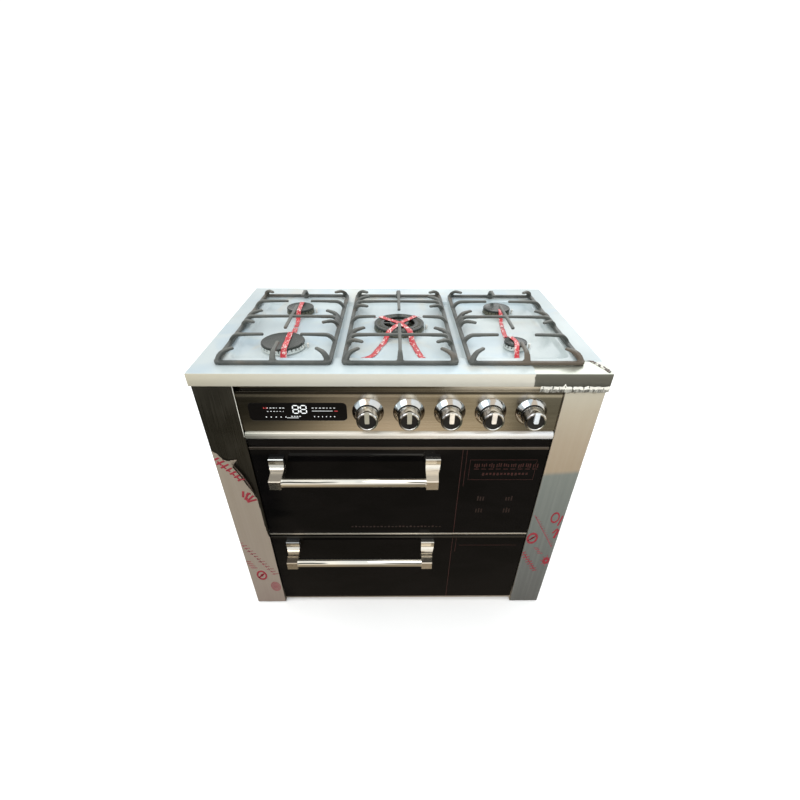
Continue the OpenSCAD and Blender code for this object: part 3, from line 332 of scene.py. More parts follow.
def painted_reflection_chrome(name, rough, *stops):
    """Chrome with painted reflections in light and dark streaks round each knob's axis, by the angle in
    degrees.
    """
    look = Look(name, Metallic=1)
    along = look.math("MODULO", look.minus(look.x, (knob_xs[0] - knob_pitch / 2) * MM), knob_pitch * MM)
    along = look.minus(along, knob_pitch * MM / 2)
    angle = look.math("ARCTAN2", look.minus(look.z, knob_z * MM), along)
    angle = look.waver(angle, look.noise(55, 3, 0.5), 0.9)
    return look.finish(look.ramp(angle, *[(radians(a), *c) for a, *c in stops]),
                       (look.noise(28, 4, 0.8), rough, rough + 0.06), (look.noise(140, 2), 2e-5))


def grip_look():
    look = Look("knob_grips", Metallic=0.25)
    fade = look.noise(90, 3)
    # painted reflection on the grips: darker on the left knobs, cream further right, bluish at the right end
    base = look.ramp(look.x, (-0.03, 0.36, 0.34, 0.265), (0.06, 0.42, 0.39, 0.3), (0.075, 0.92, 0.84, 0.7),
                     (0.22, 0.95, 0.87, 0.78), (0.27, 0.84, 0.9, 0.96))
    base = look.mix(look.span(fade, 0.35, 0.7, 0, 0.3), base, (0.4, 0.38, 0.33))
    return look.finish(base, (fade, 0.12, 0.25), (fade, 2e-5))


def bar_look():
    """Chrome of the handle bars, with a painted dark reflection line along the front above the middle, and
    painted shade on the lower half.
    """
    look = Look("handle_bars", Metallic=1)
    wave = look.minus(look.noise((13, 1, 1), 2), 0.5)
    height = look.minus(look.z, look.by_front(*(z * MM for z in BAR_HEIGHTS)))
    height = look.plus(height, look.times(wave, 0.004))
    # painted dark reflection line
    line = look.times(look.between(height, 0.0062, 0.007, 0.0088, 0.0098),
                      look.span(look.noise((9, 1, 1), 1), 0.4, 0.52))
    # painted shade on the bar's lower half
    under = look.times(look.fall(height, -0.003, -0.0006, 0.55), look.span(height, -0.0105, -0.0085))
    base = look.mix(look.span(wave, -0.2, 0.2), (0.78, 0.76, 0.7), (0.9, 0.85, 0.74))
    base = look.over(base, (under, (0.22, 0.19, 0.14)), (line, (0.1, 0.095, 0.08)))
    return look.finish(base, (wave, 0.05, 0.11), (look.noise(140, 2), 2e-5))


def post_look():
    """Plated posts of the handles, with painted reflections in bands of light and dark down from the top of
    each, paler on the right posts and greyer on the left ones.
    """
    look = Look("plated_posts", Metallic=1)
    smear = look.noise(40, 3, 0.6)
    drop = look.minus(look.by_front(*((z + POST_RISE) * MM for z in BAR_HEIGHTS)), look.z)
    drop = look.waver(drop, smear, 0.003)
    # painted reflection bands, down from each post's top
    bands = look.ramp(drop, (-0.002, 0.42, 0.44, 0.45), (0.0015, 0.36, 0.37, 0.37), (0.003, 0.16, 0.15, 0.13),
                      (0.007, 0.34, 0.3, 0.24), (0.009, 0.78, 0.72, 0.6), (0.02, 0.74, 0.73, 0.68),
                      (0.024, 0.52, 0.42, 0.31), (0.04, 0.56, 0.48, 0.37), (0.055, 0.62, 0.56, 0.45))
    # painted reflection: paler on the right posts, greyer on the left ones
    right = look.mix(0.5, bands, (0.98, 0.9, 0.76))
    grey = look.times(look.fall(look.x, -0.15, -0.05), look.by_front(0.15, 0.5))
    left = look.mix(grey, bands, (0.24, 0.25, 0.24))
    # the flat tops of the door's arms are less metallic, so their painted tan shows as colour
    flat = look.times(look.between(drop, 0.024, 0.0252, 0.0278, 0.029), look.by_front(0, 1))
    look.set("Metallic", look.span(flat, 0, 1, 0.94, 0.25))
    return look.finish(look.mix(look.span(look.x, -0.15, -0.05), left, right),
                       (smear, 0.05, 0.13), (smear, 2e-5))


def trim_look():
    """Satin strips of the fronts, each painted a different tone of light and shade, and painted shade towards
    the left.
    """
    look = Look("trim_aluminium", Metallic=0.8)
    lines = look.noise((8, 800, 800), 3)
    # painted light and shade by height, one tone for each strip
    base = look.ramp(look.z, (0.02, 0.62, 0.54, 0.44), (0.2, 0.62, 0.54, 0.44), (0.25, 0.05, 0.045, 0.037),
                     (0.311, 0.05, 0.045, 0.037), (0.313, 0.8, 0.76, 0.67), (0.45, 0.8, 0.76, 0.67),
                     (0.5, 0.16, 0.135, 0.11), (0.62, 0.16, 0.135, 0.11))
    # painted shade towards the left
    base = look.tint(base, look.ramp(look.x, (-0.34, 0.42, 0.42, 0.42), (0.12, 1, 1, 1)))
    base = look.mix(look.span(lines, 0.3, 0.7, 0, 0.2), base, (0.05, 0.045, 0.04))
    return look.finish(base, (lines, 0.26, 0.38), (lines, 2e-5))


def galvanised():
    look = Look("galvanised", Metallic=0.85)
    flakes = look.cells(85)
    both = look.blend(flakes, look.noise(6, 4), 0.35)
    return look.finish(look.tones(both, (0.4, 0.41, 0.42), (0.55, 0.56, 0.56)), (both, 0.36, 0.52),
                       (flakes, 1e-5))


def hob_look():
    """The cooktop under its milky film, with the bare steel at the right front corner, and painted shade and
    painted reflections on both.
    """
    look = Look("filmed_hob", Coat_Weight=0.25, Coat_Roughness=0.15)
    rag = look.noise(60, 3)
    right = look.span(look.plus(look.x, look.times(rag, 0.012)), 0.2905, 0.2925)
    front = look.span(look.plus(look.y, look.times(rag, 0.008)), -0.2035, -0.2015, 1, 0)
    bare = look.times(right, front)
    fold = look.fall(look.y, -0.26475, -0.264)
    drift = look.noise((3.2, 5.12, 3.2), 3, 0.4)
    # random drift, with streaks along the depth that are painted reflections
    both = look.blend(drift, look.noise((60, 4, 60), 3, 0.3), 0.8)
    top = look.mix(look.span(both, 0.38, 0.62), (0.52, 0.605, 0.625), (0.6, 0.675, 0.68))
    blue = look.span(look.noise((7.5, 9.75, 7.5), 2, 0.5), 0.5, 0.68, 0, 0.6)
    cream = look.span(look.noise((7.44, 6.2, 6.2), 3, 0.8), 0.55, 0.72, 0, 0.55)
    top = look.over(top, (blue, (0.46, 0.585, 0.665)), (cream, (0.6, 0.565, 0.475)))
    # painted shade towards the left and right ends of the top
    top = look.tint(top, look.ramp(
        look.x, (-0.45, 0.74, 0.74, 0.74), (-0.4, 0.8, 0.8, 0.8), (-0.28, 0.9, 0.9, 0.9), (-0.12, 1, 1, 1),
        (0.12, 1, 1, 1), (0.28, 0.92, 0.9, 0.87), (0.4, 0.78, 0.78, 0.76), (0.45, 0.76, 0.76, 0.76)))
    # the cream film on the front face, with painted shade darker towards the left
    face = look.ramp(look.x, (-0.45, 0.455, 0.42, 0.32), (-0.1, 0.54, 0.525, 0.455),
                     (0.25, 0.615, 0.59, 0.505))
    pale_mottle = look.mix(look.span(drift, 0.35, 0.65), (0.47, 0.485, 0.41), (0.56, 0.57, 0.49))
    # the bare front face is painted dark, a painted dark reflection
    steel = look.mix(fold, pale_mottle, (0.12, 0.118, 0.095))
    look.set("Metallic", look.times(bare, look.span(fold, 0, 1, 0.75, 0.25)))
    height = look.plus(look.noise((26, 9.1, 26), 4, 1.6), look.times(look.noise(150, 2), 0.25))
    height = look.times(height, look.span(bare, 0, 1, 1, 0.05))
    return look.finish(look.mix(bare, look.mix(fold, top, face), steel), look.span(bare, 0, 1, 0.36, 0.3),
                       (height, 0.0007, 0.5))


def film_look(name, streaks, *stops):
    """Protective film on a stile: its tones by height, and slack creases."""
    look = Look(name, Metallic=0.1, Coat_Weight=0.3, Coat_Roughness=0.2)
    drift = look.noise((9, 9, 3.6), 3)
    z = look.waver(look.z, drift, 0.012)
    z = look.minus(z, look.times(look.minus(look.x, 0.4), 0.08))
    streak = look.span(look.noise((120, 1, 1.6), 3), 0.35, 0.75, 0, streaks)
    return look.finish(look.mix(streak, look.ramp(z, *stops), (0.55, 0.53, 0.47)), (drift, 0.28, 0.4),
                       (look.noise((34, 34, 10.2), 4, 1.2), 0.0005, 0.5))


def smoke_look():
    """Grey streaks where slack film hangs over dark steel."""
    look = Look("film_smoke", Coat_Weight=0.3, Coat_Roughness=0.2)
    streak = look.noise((260, 40, 30), 4, 0.6)
    return look.finish(look.mix(look.span(streak, 0.36, 0.64), (0.085, 0.083, 0.072), (0.42, 0.41, 0.36)),
                       (streak, 0.25, 0.5), (streak, 0.0004))


def tape_look():
    look = Look("warning_tape", Coat_Weight=0.2, Coat_Roughness=0.25)
    blot, fade = look.noise((150, 82.5, 150), 3, 0.9), look.noise(40, 2)
    red = look.mix(look.span(fade, 0.35, 0.65), (0.5, 0.01, 0.022), (0.6, 0.045, 0.055))
    return look.finish(look.mix(look.span(blot, 0.56, 0.61), red, (0.8, 0.62, 0.58)), (fade, 0.28, 0.4),
                       (blot, 0.0002))


def wool_look():
    look = Look("mineral_wool", Sheen_Weight=0.3)
    fibre = look.noise((160, 960, 160), 4, 1.5)
    return look.finish(look.tones(fibre, (0.42, 0.36, 0.2), (0.62, 0.56, 0.36)),
                       (fibre, 0.8, 0.95), (fibre, 0.001))


CHROME = polished("chrome", (0.85, 0.84, 0.8), 0.045)
polished("chromed_plastic", (0.78, 0.765, 0.71), 0.06, 220)
STEEL_UP = brushed("steel_upright", (0.56, 0.535, 0.49), 0.27, (900, 900, 9))
# the left stile's bare steel, painted dark as a reflection and shaded along its inner edge
STEEL_PAINTED_DARK = painted_dark_stile_look()
STEEL_PANEL = panel_look()
STEEL_SIDE = brushed("steel_sides", (0.55, 0.55, 0.53), 0.36, (900, 8, 700))
NOSE = nose_look()
POSTS = post_look()
BARS = bar_look()
GRIPS = grip_look()
# painted reflections on the knobs' chrome and on the bezels' chrome
KNOB_CHROME = painted_reflection_chrome(
    "knob_chrome", 0.05, (-180, 0.1, 0.095, 0.09), (-150, 0.16, 0.15, 0.14), (-128, 0.5, 0.48, 0.42),
    (-105, 0.88, 0.87, 0.84), (-75, 0.92, 0.92, 0.9), (-50, 0.5, 0.5, 0.45), (-20, 0.27, 0.31, 0.27),
    (10, 0.2, 0.22, 0.21), (24, 0.74, 0.75, 0.74), (45, 0.84, 0.84, 0.82), (57, 0.42, 0.41, 0.38),
    (70, 0.82, 0.8, 0.75), (96, 0.66, 0.61, 0.52), (106, 0.33, 0.31, 0.28), (120, 0.6, 0.6, 0.62),
    (129, 0.26, 0.25, 0.25), (142, 0.46, 0.45, 0.45), (155, 0.13, 0.125, 0.12), (180, 0.1, 0.095, 0.09))
BEZEL_CHROME = painted_reflection_chrome(
    "bezel_chrome", 0.05, (-180, 0.22, 0.18, 0.14), (-140, 0.55, 0.47, 0.36), (-60, 0.5, 0.43, 0.32),
    (-15, 0.34, 0.29, 0.22), (6, 0.1, 0.095, 0.085), (22, 0.4, 0.4, 0.38), (40, 0.62, 0.62, 0.6),
    (76, 0.66, 0.67, 0.66), (84, 0.52, 0.44, 0.35), (102, 0.52, 0.43, 0.34), (108, 0.52, 0.59, 0.62),
    (146, 0.5, 0.57, 0.61), (158, 0.25, 0.24, 0.23), (166, 0.06, 0.058, 0.055), (174, 0.45, 0.43, 0.39),
    (180, 0.22, 0.18, 0.14))
brushed("satin_aluminium", (0.72, 0.7, 0.66), 0.3, (8, 800, 800))
TRIM = trim_look()
CAST_ALLOY = brushed("cast_alloy", (0.8, 0.8, 0.76), 0.2, (60, 60, 900), 2e-5)
# darker alloy for the rear and centre crowns and the centre cap's ribs
DARK_ALLOY = brushed("dark_crown", (0.17, 0.165, 0.125), 0.42, (90, 90, 700), Coat_Weight=0.2)
brushed("brass", (0.72, 0.52, 0.24), 0.28, (300, 300, 300))
GALV = galvanised()
IRON = iron_look()
BLACK_GLASS = glass_look("black_glass", (0.0016, 0.0016, 0.0016), 0.05, 0.0003)
glass_look("smoked_glass", (0.018, 0.018, 0.02), 0.06)
GLOSS = coated("black_gloss", (0.003, 0.0026, 0.0024), 0.1, 1400, 1e-5, 1.8, Specular_IOR_Level=0.11)
CAP_ENAMEL = coated("cap_enamel", (0.012, 0.015, 0.012), 0.22, 1100, 4e-5, 2.2, Specular_IOR_Level=0.45)
ENAMEL = coated("black_enamel", (0.013, 0.014, 0.014), 0.16, 1100, 4e-5, 2, Coat_Weight=0.6)
coated("speckled_enamel", (0.02, 0.022, 0.026), 0.22, 500, 3e-5, 3.2, Coat_Weight=0.4)
PLASTIC = coated("black_plastic", (0.012, 0.012, 0.012), 0.34, 1600, 6e-5, 1.6)
RECESS = coated("knob_recess", (0.006, 0.006, 0.006), 0.25, 900, 2e-5, 1.8, Specular_IOR_Level=0.4)
coated("seal_rubber", (0.02, 0.02, 0.02), 0.6, 1000, 0.0001, 1.5)
CERAMIC = coated("porcelain", (0.7, 0.69, 0.64), 0.2, 500, 2e-5, 1.15, Coat_Weight=0.5)
coated("lamp_glass", (0.75, 0.72, 0.6), 0.1, 300, 2e-5, 1.15, Coat_Weight=0.6)
wool_look()
HOB = hob_look()
FILM_RIGHT = film_look(
    "film_right", 0.06, (0, 0.09, 0.094, 0.09), (0.12, 0.105, 0.11, 0.105), (0.3, 0.126, 0.138, 0.127),
    (0.45, 0.152, 0.168, 0.153), (0.533, 0.17, 0.188, 0.168), (0.546, 0.335, 0.262, 0.178),
    (0.63, 0.375, 0.302, 0.214), (0.72, 0.425, 0.368, 0.275), (0.8, 0.49, 0.465, 0.375))
FILM_LEFT = film_look("film_left", 0.05, (0, 0.25, 0.19, 0.16), (0.2, 0.27, 0.22, 0.175),
                      (0.45, 0.262, 0.215, 0.165), (0.62, 0.27, 0.225, 0.172))
FILM_EDGE = coated("film_edge", (0.56, 0.55, 0.49), 0.25, 90, 0.0004, 1.5, Coat_Weight=0.5)
# film painted dark as the shade in its rolled and crumpled parts
FILM_SHADE = coated("film_fold_shade", (0.04, 0.03, 0.024), 0.22, 70, 0.0005, 4, Coat_Weight=0.6)
FILM_SMOKE = smoke_look()
TAPE = tape_look()
RED_PRINT = coated("red_print", (0.22, 0.009, 0.02), 0.45, 260, 3e-5, 1.5)
PALE_PRINT = coated("pale_red_print", (0.22, 0.042, 0.052), 0.45, 200, 3e-5, 1.5)
GLASS_PRINT = coated("glass_print", (0.021, 0.0034, 0.0033), 0.3, 120, 1e-5, 2.2)
DIM_PRINT = coated("dim_print", (0.01, 0.0035, 0.0032), 0.3, 120, 1e-5, 2)
# white print with a faint painted glow
WHITE_PRINT = coated("white_print", (0.74, 0.76, 0.76), 0.4, 300, 1e-5, 1.1, Emission_Strength=0.25,
                     Emission_Color=(0.8, 0.85, 0.85, 1))
RED_DOT = coated("red_dot", (0.45, 0.03, 0.03), 0.4, 300, 1e-5, 1.3)

# slots whose look goes by another name than their own
OTHER_LOOK = {"casing_steel": "steel_sides", "hob_steel": "filmed_hob", "inner_steel": "galvanised",
              "black_enamel": "speckled_enamel"}
for name, obj in nodes.items():
    for s in obj.material_slots:
        s.material = LOOKS[OTHER_LOOK.get(slot_of[name], slot_of[name])]


# -------- mesh helpers
def front(x0, z0, y0):
    """Local u to the right, v up and w out of the front."""
    return lambda u, v, w: at(x0 + u, y0 - w, z0 + v)


def above(x0, y0):
    """Local u to the right, v to the back and w up."""
    return lambda u, v, w: at(x0 + u, y0 + v, w)


def behind(x0, z0, y0):
    """Local u to the left, v up and w out of the back."""
    return lambda u, v, w: at(x0 - u, y0 + w, z0 + v)


def across(u, v, w):
    """Local u along the depth, v up and w to the right."""
    return at(w, u, v)


def turned(place, angle):
    """The same place with u and v turned about w."""
    c, s = cos(radians(angle)), sin(radians(angle))
    return lambda u, v, w: place(u * c - v * s, u * s + v * c, w)


def steps_of(a, b, n):
    return [a + (b - a) * i / n for i in range(n + 1)]


def arc(cx, cy, r, a0, a1, n):
    angles = (radians(a) for a in steps_of(a0, a1, n))
    return [(cx + r * cos(a), cy + r * sin(a)) for a in angles]


def piecewise(stops, x):
    for (x0, y0), (x1, y1) in zip(stops, stops[1:]):
        if x <= x1:
            return y0 + (y1 - y0) * (x - x0) / (x1 - x0)
    return stops[-1][1]


def wander(a, b, c):
    return noise.noise(Vector((a, b, c)))


def prism(bm, outline, w0, w1, place):
    """A closed solid from an outline, from w0 to w1."""
    low, high = ([bm.verts.new(place(u, v, w)) for u, v in outline] for w in (w0, w1))
    bm.faces.new(low)
    bm.faces.new(reversed(high))
    for i in range(len(outline)):
        bm.faces.new((low[i - 1], low[i], high[i], high[i - 1]))


def block(bm, u0, u1, v0, v1, w0, w1, place):
    prism(bm, [(u0, v0), (u1, v0), (u1, v1), (u0, v1)], w0, w1, place)


def lathe(bm, profile, place, steps=64, closed=False):
    """Turns (r, w) points round the w axis. Returns the faces, a list for each stretch of the profile."""
    rings = [[bm.verts.new(place(u, v, w)) for u, v in (arc(0, 0, r, 0, 360, steps)[1:] if r else [(0, 0)])]
             for r, w in profile]
    bands = []
    for p, q in zip(rings, rings[1:] + rings[:1] * closed):
        bands.append([])
        for i in range(steps):
            j = (i + 1) % steps
            loop = (p[i % len(p)], p[j % len(p)], q[j % len(q)], q[i % len(q)])
            bands[-1].append(bm.faces.new(list(dict.fromkeys(loop))))
    return bands


def sheet(us, vs, point, keep=lambda u, v: True):
    """An open sheet with one vertex for each (u, v); keep says which cells stay."""
    bm = bmesh.new()
    rows = [[bm.verts.new(point(u, v)) for u in us] for v in vs]
    for j in range(len(vs) - 1):
        for i in range(len(us) - 1):
            if keep((us[i] + us[i + 1]) / 2, (vs[j] + vs[j + 1]) / 2):
                bm.faces.new((rows[j][i], rows[j][i + 1], rows[j + 1][i + 1], rows[j + 1][i]))
    bmesh.ops.delete(bm, geom=[v for v in bm.verts if not v.link_faces], context="VERTS")
    return bm


def put(name, data):
    obj = bpy.data.objects.new(name, data)
    bpy.context.scene.collection.objects.link(obj)
    return obj


def thicken(obj, by):
    """Thickens a sheet inward by so many millimetres, or outward where by is less than zero."""
    thick = obj.modifiers.new("thickness", "SOLIDIFY")
    thick.thickness, thick.offset = abs(by) * MM, -1 if by > 0 else 1


def piece(name, bm, looks, body="cooker", node=None, extra=False, bevel=0, angle=35, solid=0,
          normals=True):
    """Makes an object of bm, which rides on a body, or on its node's and takes its place unless extra."""
    empty = [f for f in bm.faces if f.calc_area() < 1e-9]
    bmesh.ops.delete(bm, geom=empty, context="FACES")
    if normals:
        bmesh.ops.recalc_face_normals(bm, faces=bm.faces)
    mesh = bpy.data.meshes.new(name)
    bm.to_mesh(mesh)
    bm.free()
    for look in looks if isinstance(looks, tuple) else (looks,):
        mesh.materials.append(look)
    mesh.polygons.foreach_set("use_smooth", [True] * len(mesh.polygons))
    mesh.set_sharp_from_angle(angle=radians(angle))
    obj = put(name, mesh)
    if solid:
        thicken(obj, solid)
    if bevel:
        edge = obj.modifiers.new("edges", "BEVEL")
        edge.width, edge.segments, edge.limit_method = bevel * MM, 3, "ANGLE"
        edge.angle_limit, edge.harden_normals = radians(angle), True
    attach(obj, body_of[node] if node else body)
    if node:
        if not extra:
            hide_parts(node)
    return obj


def recast(node, look, bevel=0, angle=35, name="skin"):
    """A node's own shape as a new piece, with its flat faces merged and its edges rounded."""
    bm = bmesh.new()
    bm.from_mesh(nodes[node].data)
    bmesh.ops.remove_doubles(bm, verts=bm.verts, dist=2e-5)
    bmesh.ops.dissolve_limit(bm, angle_limit=radians(0.5), verts=bm.verts, edges=bm.edges)
    return piece(f"{node}_{name}", bm, look, node=node, bevel=bevel, angle=angle)


# -------- cooktop
(hob_x0, hob_y0, hob_z0), (hob_x1, hob_y1, hob_z) = box("hob_top")
grate_lo, grate_hi = box("grate_centre")
mid_y = (grate_lo.y + grate_hi.y) / 2
TRAY_X, TRAY_Y, TRAY_DROP, TRAY_SLOPE, TRAY_R = 384, mid_y - hob_y0 - 76, 8, 10, 22
RIM_R, RIM_STEPS, HOB_THICK = 2.2, 6, 1.3
caps = {n: box(n) for n in nodes if n.startswith("cap_")}
burners = {n: ((lo.x + hi.x) / 2, (lo.y + hi.y) / 2, (hi.x - lo.x) / 2) for n, (lo, hi) in caps.items()}


def hob_surface(x, y):
    """Height of the cooktop's sheet, with the tray pressed into it."""
    qx, qy = abs(x) - TRAY_X + TRAY_R, abs(y - mid_y) - TRAY_Y + TRAY_R
    d = hypot(max(qx, 0), max(qy, 0)) + min(max(qx, qy), 0) - TRAY_R
    t = min(max(-d / TRAY_SLOPE, 0), 1)
    return hob_z - TRAY_DROP * t * t * (3 - 2 * t)


def graded(a, b, edges, near=24, fine=2.4, coarse=6):
    """Stations from a to b, finer near the given edges."""
    stops, x = [a], a
    while x < b - 1e-6:
        x += fine if min(abs(x - e) for e in edges) < near else coarse
        stops.append(min(x, b))
    return stops


def hob_skin():
    """The pressed sheet, whose rim is rounded and folds down."""
    x0, x1, y0, y1 = hob_x0 + RIM_R, hob_x1 - RIM_R, hob_y0 + RIM_R, hob_y1 - RIM_R
    slope_x, slope_y = TRAY_X - TRAY_SLOPE, TRAY_Y - TRAY_SLOPE
    xs, ys = graded(x0, x1, (-slope_x, slope_x)), graded(y0, y1, (mid_y - slope_y, mid_y + slope_y))
    bm = sheet(xs, ys, lambda x, y: at(x, y, hob_surface(x, y)),
               lambda x, y: all(hypot(x - bx, y - by) > r - 15 for bx, by, r in burners.values()))
    drops = arc(0, RIM_R, RIM_R, -90, 0, RIM_STEPS)[1:] + [(RIM_R, hob_z - hob_z0)]
    rim = {}
    for v in bm.verts[:]:
        x, y = v.co.x / MM, v.co.y / MM
        sx = (x > x1 - 0.01) - (x < x0 + 0.01)
        sy = (y > y1 - 0.01) - (y < y0 + 0.01)
        if sx or sy:
            rim[v] = [v] + [bm.verts.new(at(x + sx * out, y + sy * out, hob_z - down))
                            for out, down in drops]
    for e in [e for e in bm.edges if e.is_boundary]:
        if all(v in rim for v in e.verts):
            a, b = (rim[v] for v in e.verts)
            for k in range(len(drops)):
                bm.faces.new((a[k], b[k], b[k + 1], a[k + 1]))
    thicken(piece("hob_top_skin", bm, HOB, node="hob_top", bevel=1.2, angle=60), HOB_THICK)


hob_skin()


# -------- pan supports
for side in ("left", "centre", "right"):
    # the soft edges and fillets of a sand casting
    grate = recast("grate_" + side, IRON, name="casting")
    shell = grate.modifiers.new("cast", "REMESH")
    shell.mode, shell.voxel_size, shell.use_smooth_shade = "VOXEL", 1.55 * MM, True
    soft = grate.modifiers.new("soft", "SMOOTH")
    soft.factor, soft.iterations = 0.5, 5


# -------- burners
def burner_cap(name, x, y, r):
    place = above(x, y)
    z0 = caps[name][1].z - 5
    skirt = [(r - 1, z0), (r, z0 + 1)] + arc(r - 2.5, z0 + 2.5, 2.5, 0, 90, 5)
    bm = bmesh.new()
    if name == "cap_centre":
        lathe(bm, [(40.2, z0 + 0.2), (55, z0), (55, z0 - 2.9), (56.6, z0 - 2.9), (56.8, z0), *skirt,
                   (r - 6, z0 + 4.9), (r - 8, z0 + 4.2), (r - 15, z0 + 4.1), (r - 17, z0 + 4.8),
                   (r - 20, z0 + 5), (41.2, z0 + 4.6), (40.2, z0 + 3.8)], place, 96, True)
        lathe(bm, [(0, z0), (23.8, z0), (24.8, z0 + 1), (24.9, z0 + 3.6), (24.2, z0 + 4.6), (22.5, z0 + 5),
                   (16, z0 + 4.4), (12, z0 + 4.2), (6, z0 + 4.3), (0, z0 + 4.4)], place, 72)
        for a in (60, 180, 300):
            block(bm, 22, 43, -3.4, 3.4, z0 + 1.2, z0 + 3.8, turned(place, a))
    else:
        rim = r - 6.3
        lathe(bm, [(0, z0), (rim - 2, z0), (rim - 2, z0 - 2.9), (rim, z0 - 2.9), (rim, z0), *skirt,
                   (r * 0.9, z0 + 4.6), (r * 0.84, z0 + 4), (r * 0.5, z0 + 3.5), (r * 0.2, z0 + 3.5),
                   (0, z0 + 3.7)], place, 96)
    piece(name + "_pressing", bm, CAP_ENAMEL, node=name, angle=40)
    if name == "cap_centre":
        # raised ribs between the flame slots of the outer ring
        bm = bmesh.new()
        for a in range(0, 360, 10):
            block(bm, r - 15.5, r - 7.5, -1.1, 1.1, z0 + 4, z0 + 4.9, turned(place, a))
        piece("cap_centre_ribs", bm, DARK_ALLOY, node=name, extra=True, bevel=0.3)


for name, spot in burners.items():
    burner_cap(name, *spot)
crowns = recast("burner_crowns", CAST_ALLOY, 0.25, 40)
crowns.data.materials.append(DARK_ALLOY)
bare_crowns = [burners["cap_left_front"], burners["cap_right_front"]]
for p in crowns.data.polygons:
    c = p.center / MM
    p.material_index = 0 if any(hypot(c.x - x, c.y - y) < r + 4 for x, y, r in bare_crowns) else 1
recast("spark_electrodes", CERAMIC, 0.3, 40)


# -------- front
for node, look, bevel in (
        ("front_stile_left", STEEL_PAINTED_DARK, 0.5), ("front_stile_right", STEEL_UP, 0.5),
        ("control_panel", STEEL_PANEL, 0.5), ("vent_strip", GLOSS, 0.35), ("display_window", GLOSS, 0.4),
        ("door_glass", BLACK_GLASS, 0.5), ("drawer_glass", BLACK_GLASS, 0.5), ("door_trims", TRIM, 0.25),
        ("drawer_trims", TRIM, 0.25), ("side_panel_left", STEEL_SIDE, 0.5),
        ("side_panel_right", STEEL_SIDE, 0.5), ("back_panel", GALV, 0), ("door_frame", GALV, 0.4),
        ("baking_tray", ENAMEL, 0.5),
        ("oven_shelf", CHROME, 0), ("drawer_box", GALV, 0.4)):
    recast(node, look, bevel)

nose_lo, nose_hi = box("panel_trim")
nose_r = (nose_hi.z - nose_lo.z) / 2
bm = bmesh.new()
prism(bm, arc(nose_lo.y + nose_r, nose_lo.z + nose_r, nose_r, 90, 270, 40)
      + [(nose_hi.y, nose_lo.z), (nose_hi.y, nose_hi.z)], nose_lo.x, nose_hi.x, across)
piece("panel_trim_skin", bm, NOSE, node="panel_trim", bevel=0.4, angle=50)


def handle(node):
    """Two tapered bracket posts and a round bar between them."""
    (x0, front_y, z0), (x1, y, _) = box(node)
    bar_y, bar_z, mid = front_y + POST_HALF, z0 + POST_HALF, (x0 + x1) / 2
    low, high, top = bar_z - POST_HALF, bar_z + POST_HALF, bar_z + POST_RISE
    outline = [(y, bar_z - 8), (y, top), (y - 10, top), (y - 12, top - 2)]
    outline += arc(y - 29, bar_z + 30.5, 17, 0, -90, 22)
    outline += [(front_y + 2, high), (front_y, high - 2), (front_y, low + 2), (front_y + 2, low),
                (y - 34.5, low)]
    outline += arc(y - 14, bar_z - 18, 14, 150, 60, 12)
    bm = bmesh.new()
    for inner, outer in ((x0 + POST_W, x0), (x1 - POST_W, x1)):
        prism(bm, outline, inner, outer, across)
    for out in (12, 28):
        bmesh.ops.bisect_plane(bm, geom=bm.verts[:] + bm.edges[:] + bm.faces[:], plane_co=at(0, y - out, 0),
                               plane_no=(0, 1, 0))
    for v in bm.verts:
        if abs(v.co.x / MM - mid) > (x1 - x0) / 2 - 1:
            narrow = piecewise(((0, 0), (12, 0), (28, 5.6), (POST_OUT, 8)), y - v.co.y / MM)
            v.co.x -= copysign(narrow * MM, v.co.x / MM - mid)
    piece(node + "_posts", bm, POSTS, node=node, bevel=0.7, angle=24)
    half = (x1 - x0) / 2 - POST_W + 4
    end = [(0, half), (COLLAR_R, half), (COLLAR_R, half - 6.5), (COLLAR_R - 0.4, half - 7.4),
           (BAR_R, half - 7.8)]
    bm = bmesh.new()
    lathe(bm, [(r, -w) for r, w in end] + end[::-1], lambda u, v, w: at(mid + w, bar_y + u, bar_z + v), 56)
    piece(node + "_bar", bm, BARS, node=node, extra=True, angle=50)


handle("door_handle")
handle("drawer_handle")


# -------- knobs
panel_y = box("control_panel")[0].y
KNOB = [(0, 7), (23.4, 7), (24.3, 7.6), (24.5, 8.4), (24.5, 14), (24.1, 15), (23.5, 15.9), (23.6, 17.5),
        (23.9, 24), (24, 31), (24, 37), (23.8, 39.2), (23.2, 41), (22.3, 42.2), (21.2, 42.9), (20.2, 43),
        (19.2, 42.7), (18.6, 42.3), (18.2, 41.6), (18.1, 40.6), (18, 39.3), (0, 39.2)]
WELL = [(0, 39.25), (17.8, 39.25), (17.8, 40.6), (16.2, 40.2), (13.8, 39.8), (0, 39.7)]
BEZEL = [(7.1, 0), (35.5, 0), (35.5, 1), (34.9, 2), (27.3, 11.1), (26.6, 11.8), (26, 12), (25.6, 11.8),
         (25.3, 11.2), (25.3, 3), (7.1, 3)]
GRIP_HALF, GRIP_REACH, GRIP_FOOT = 5.2, 23.2, -3.4


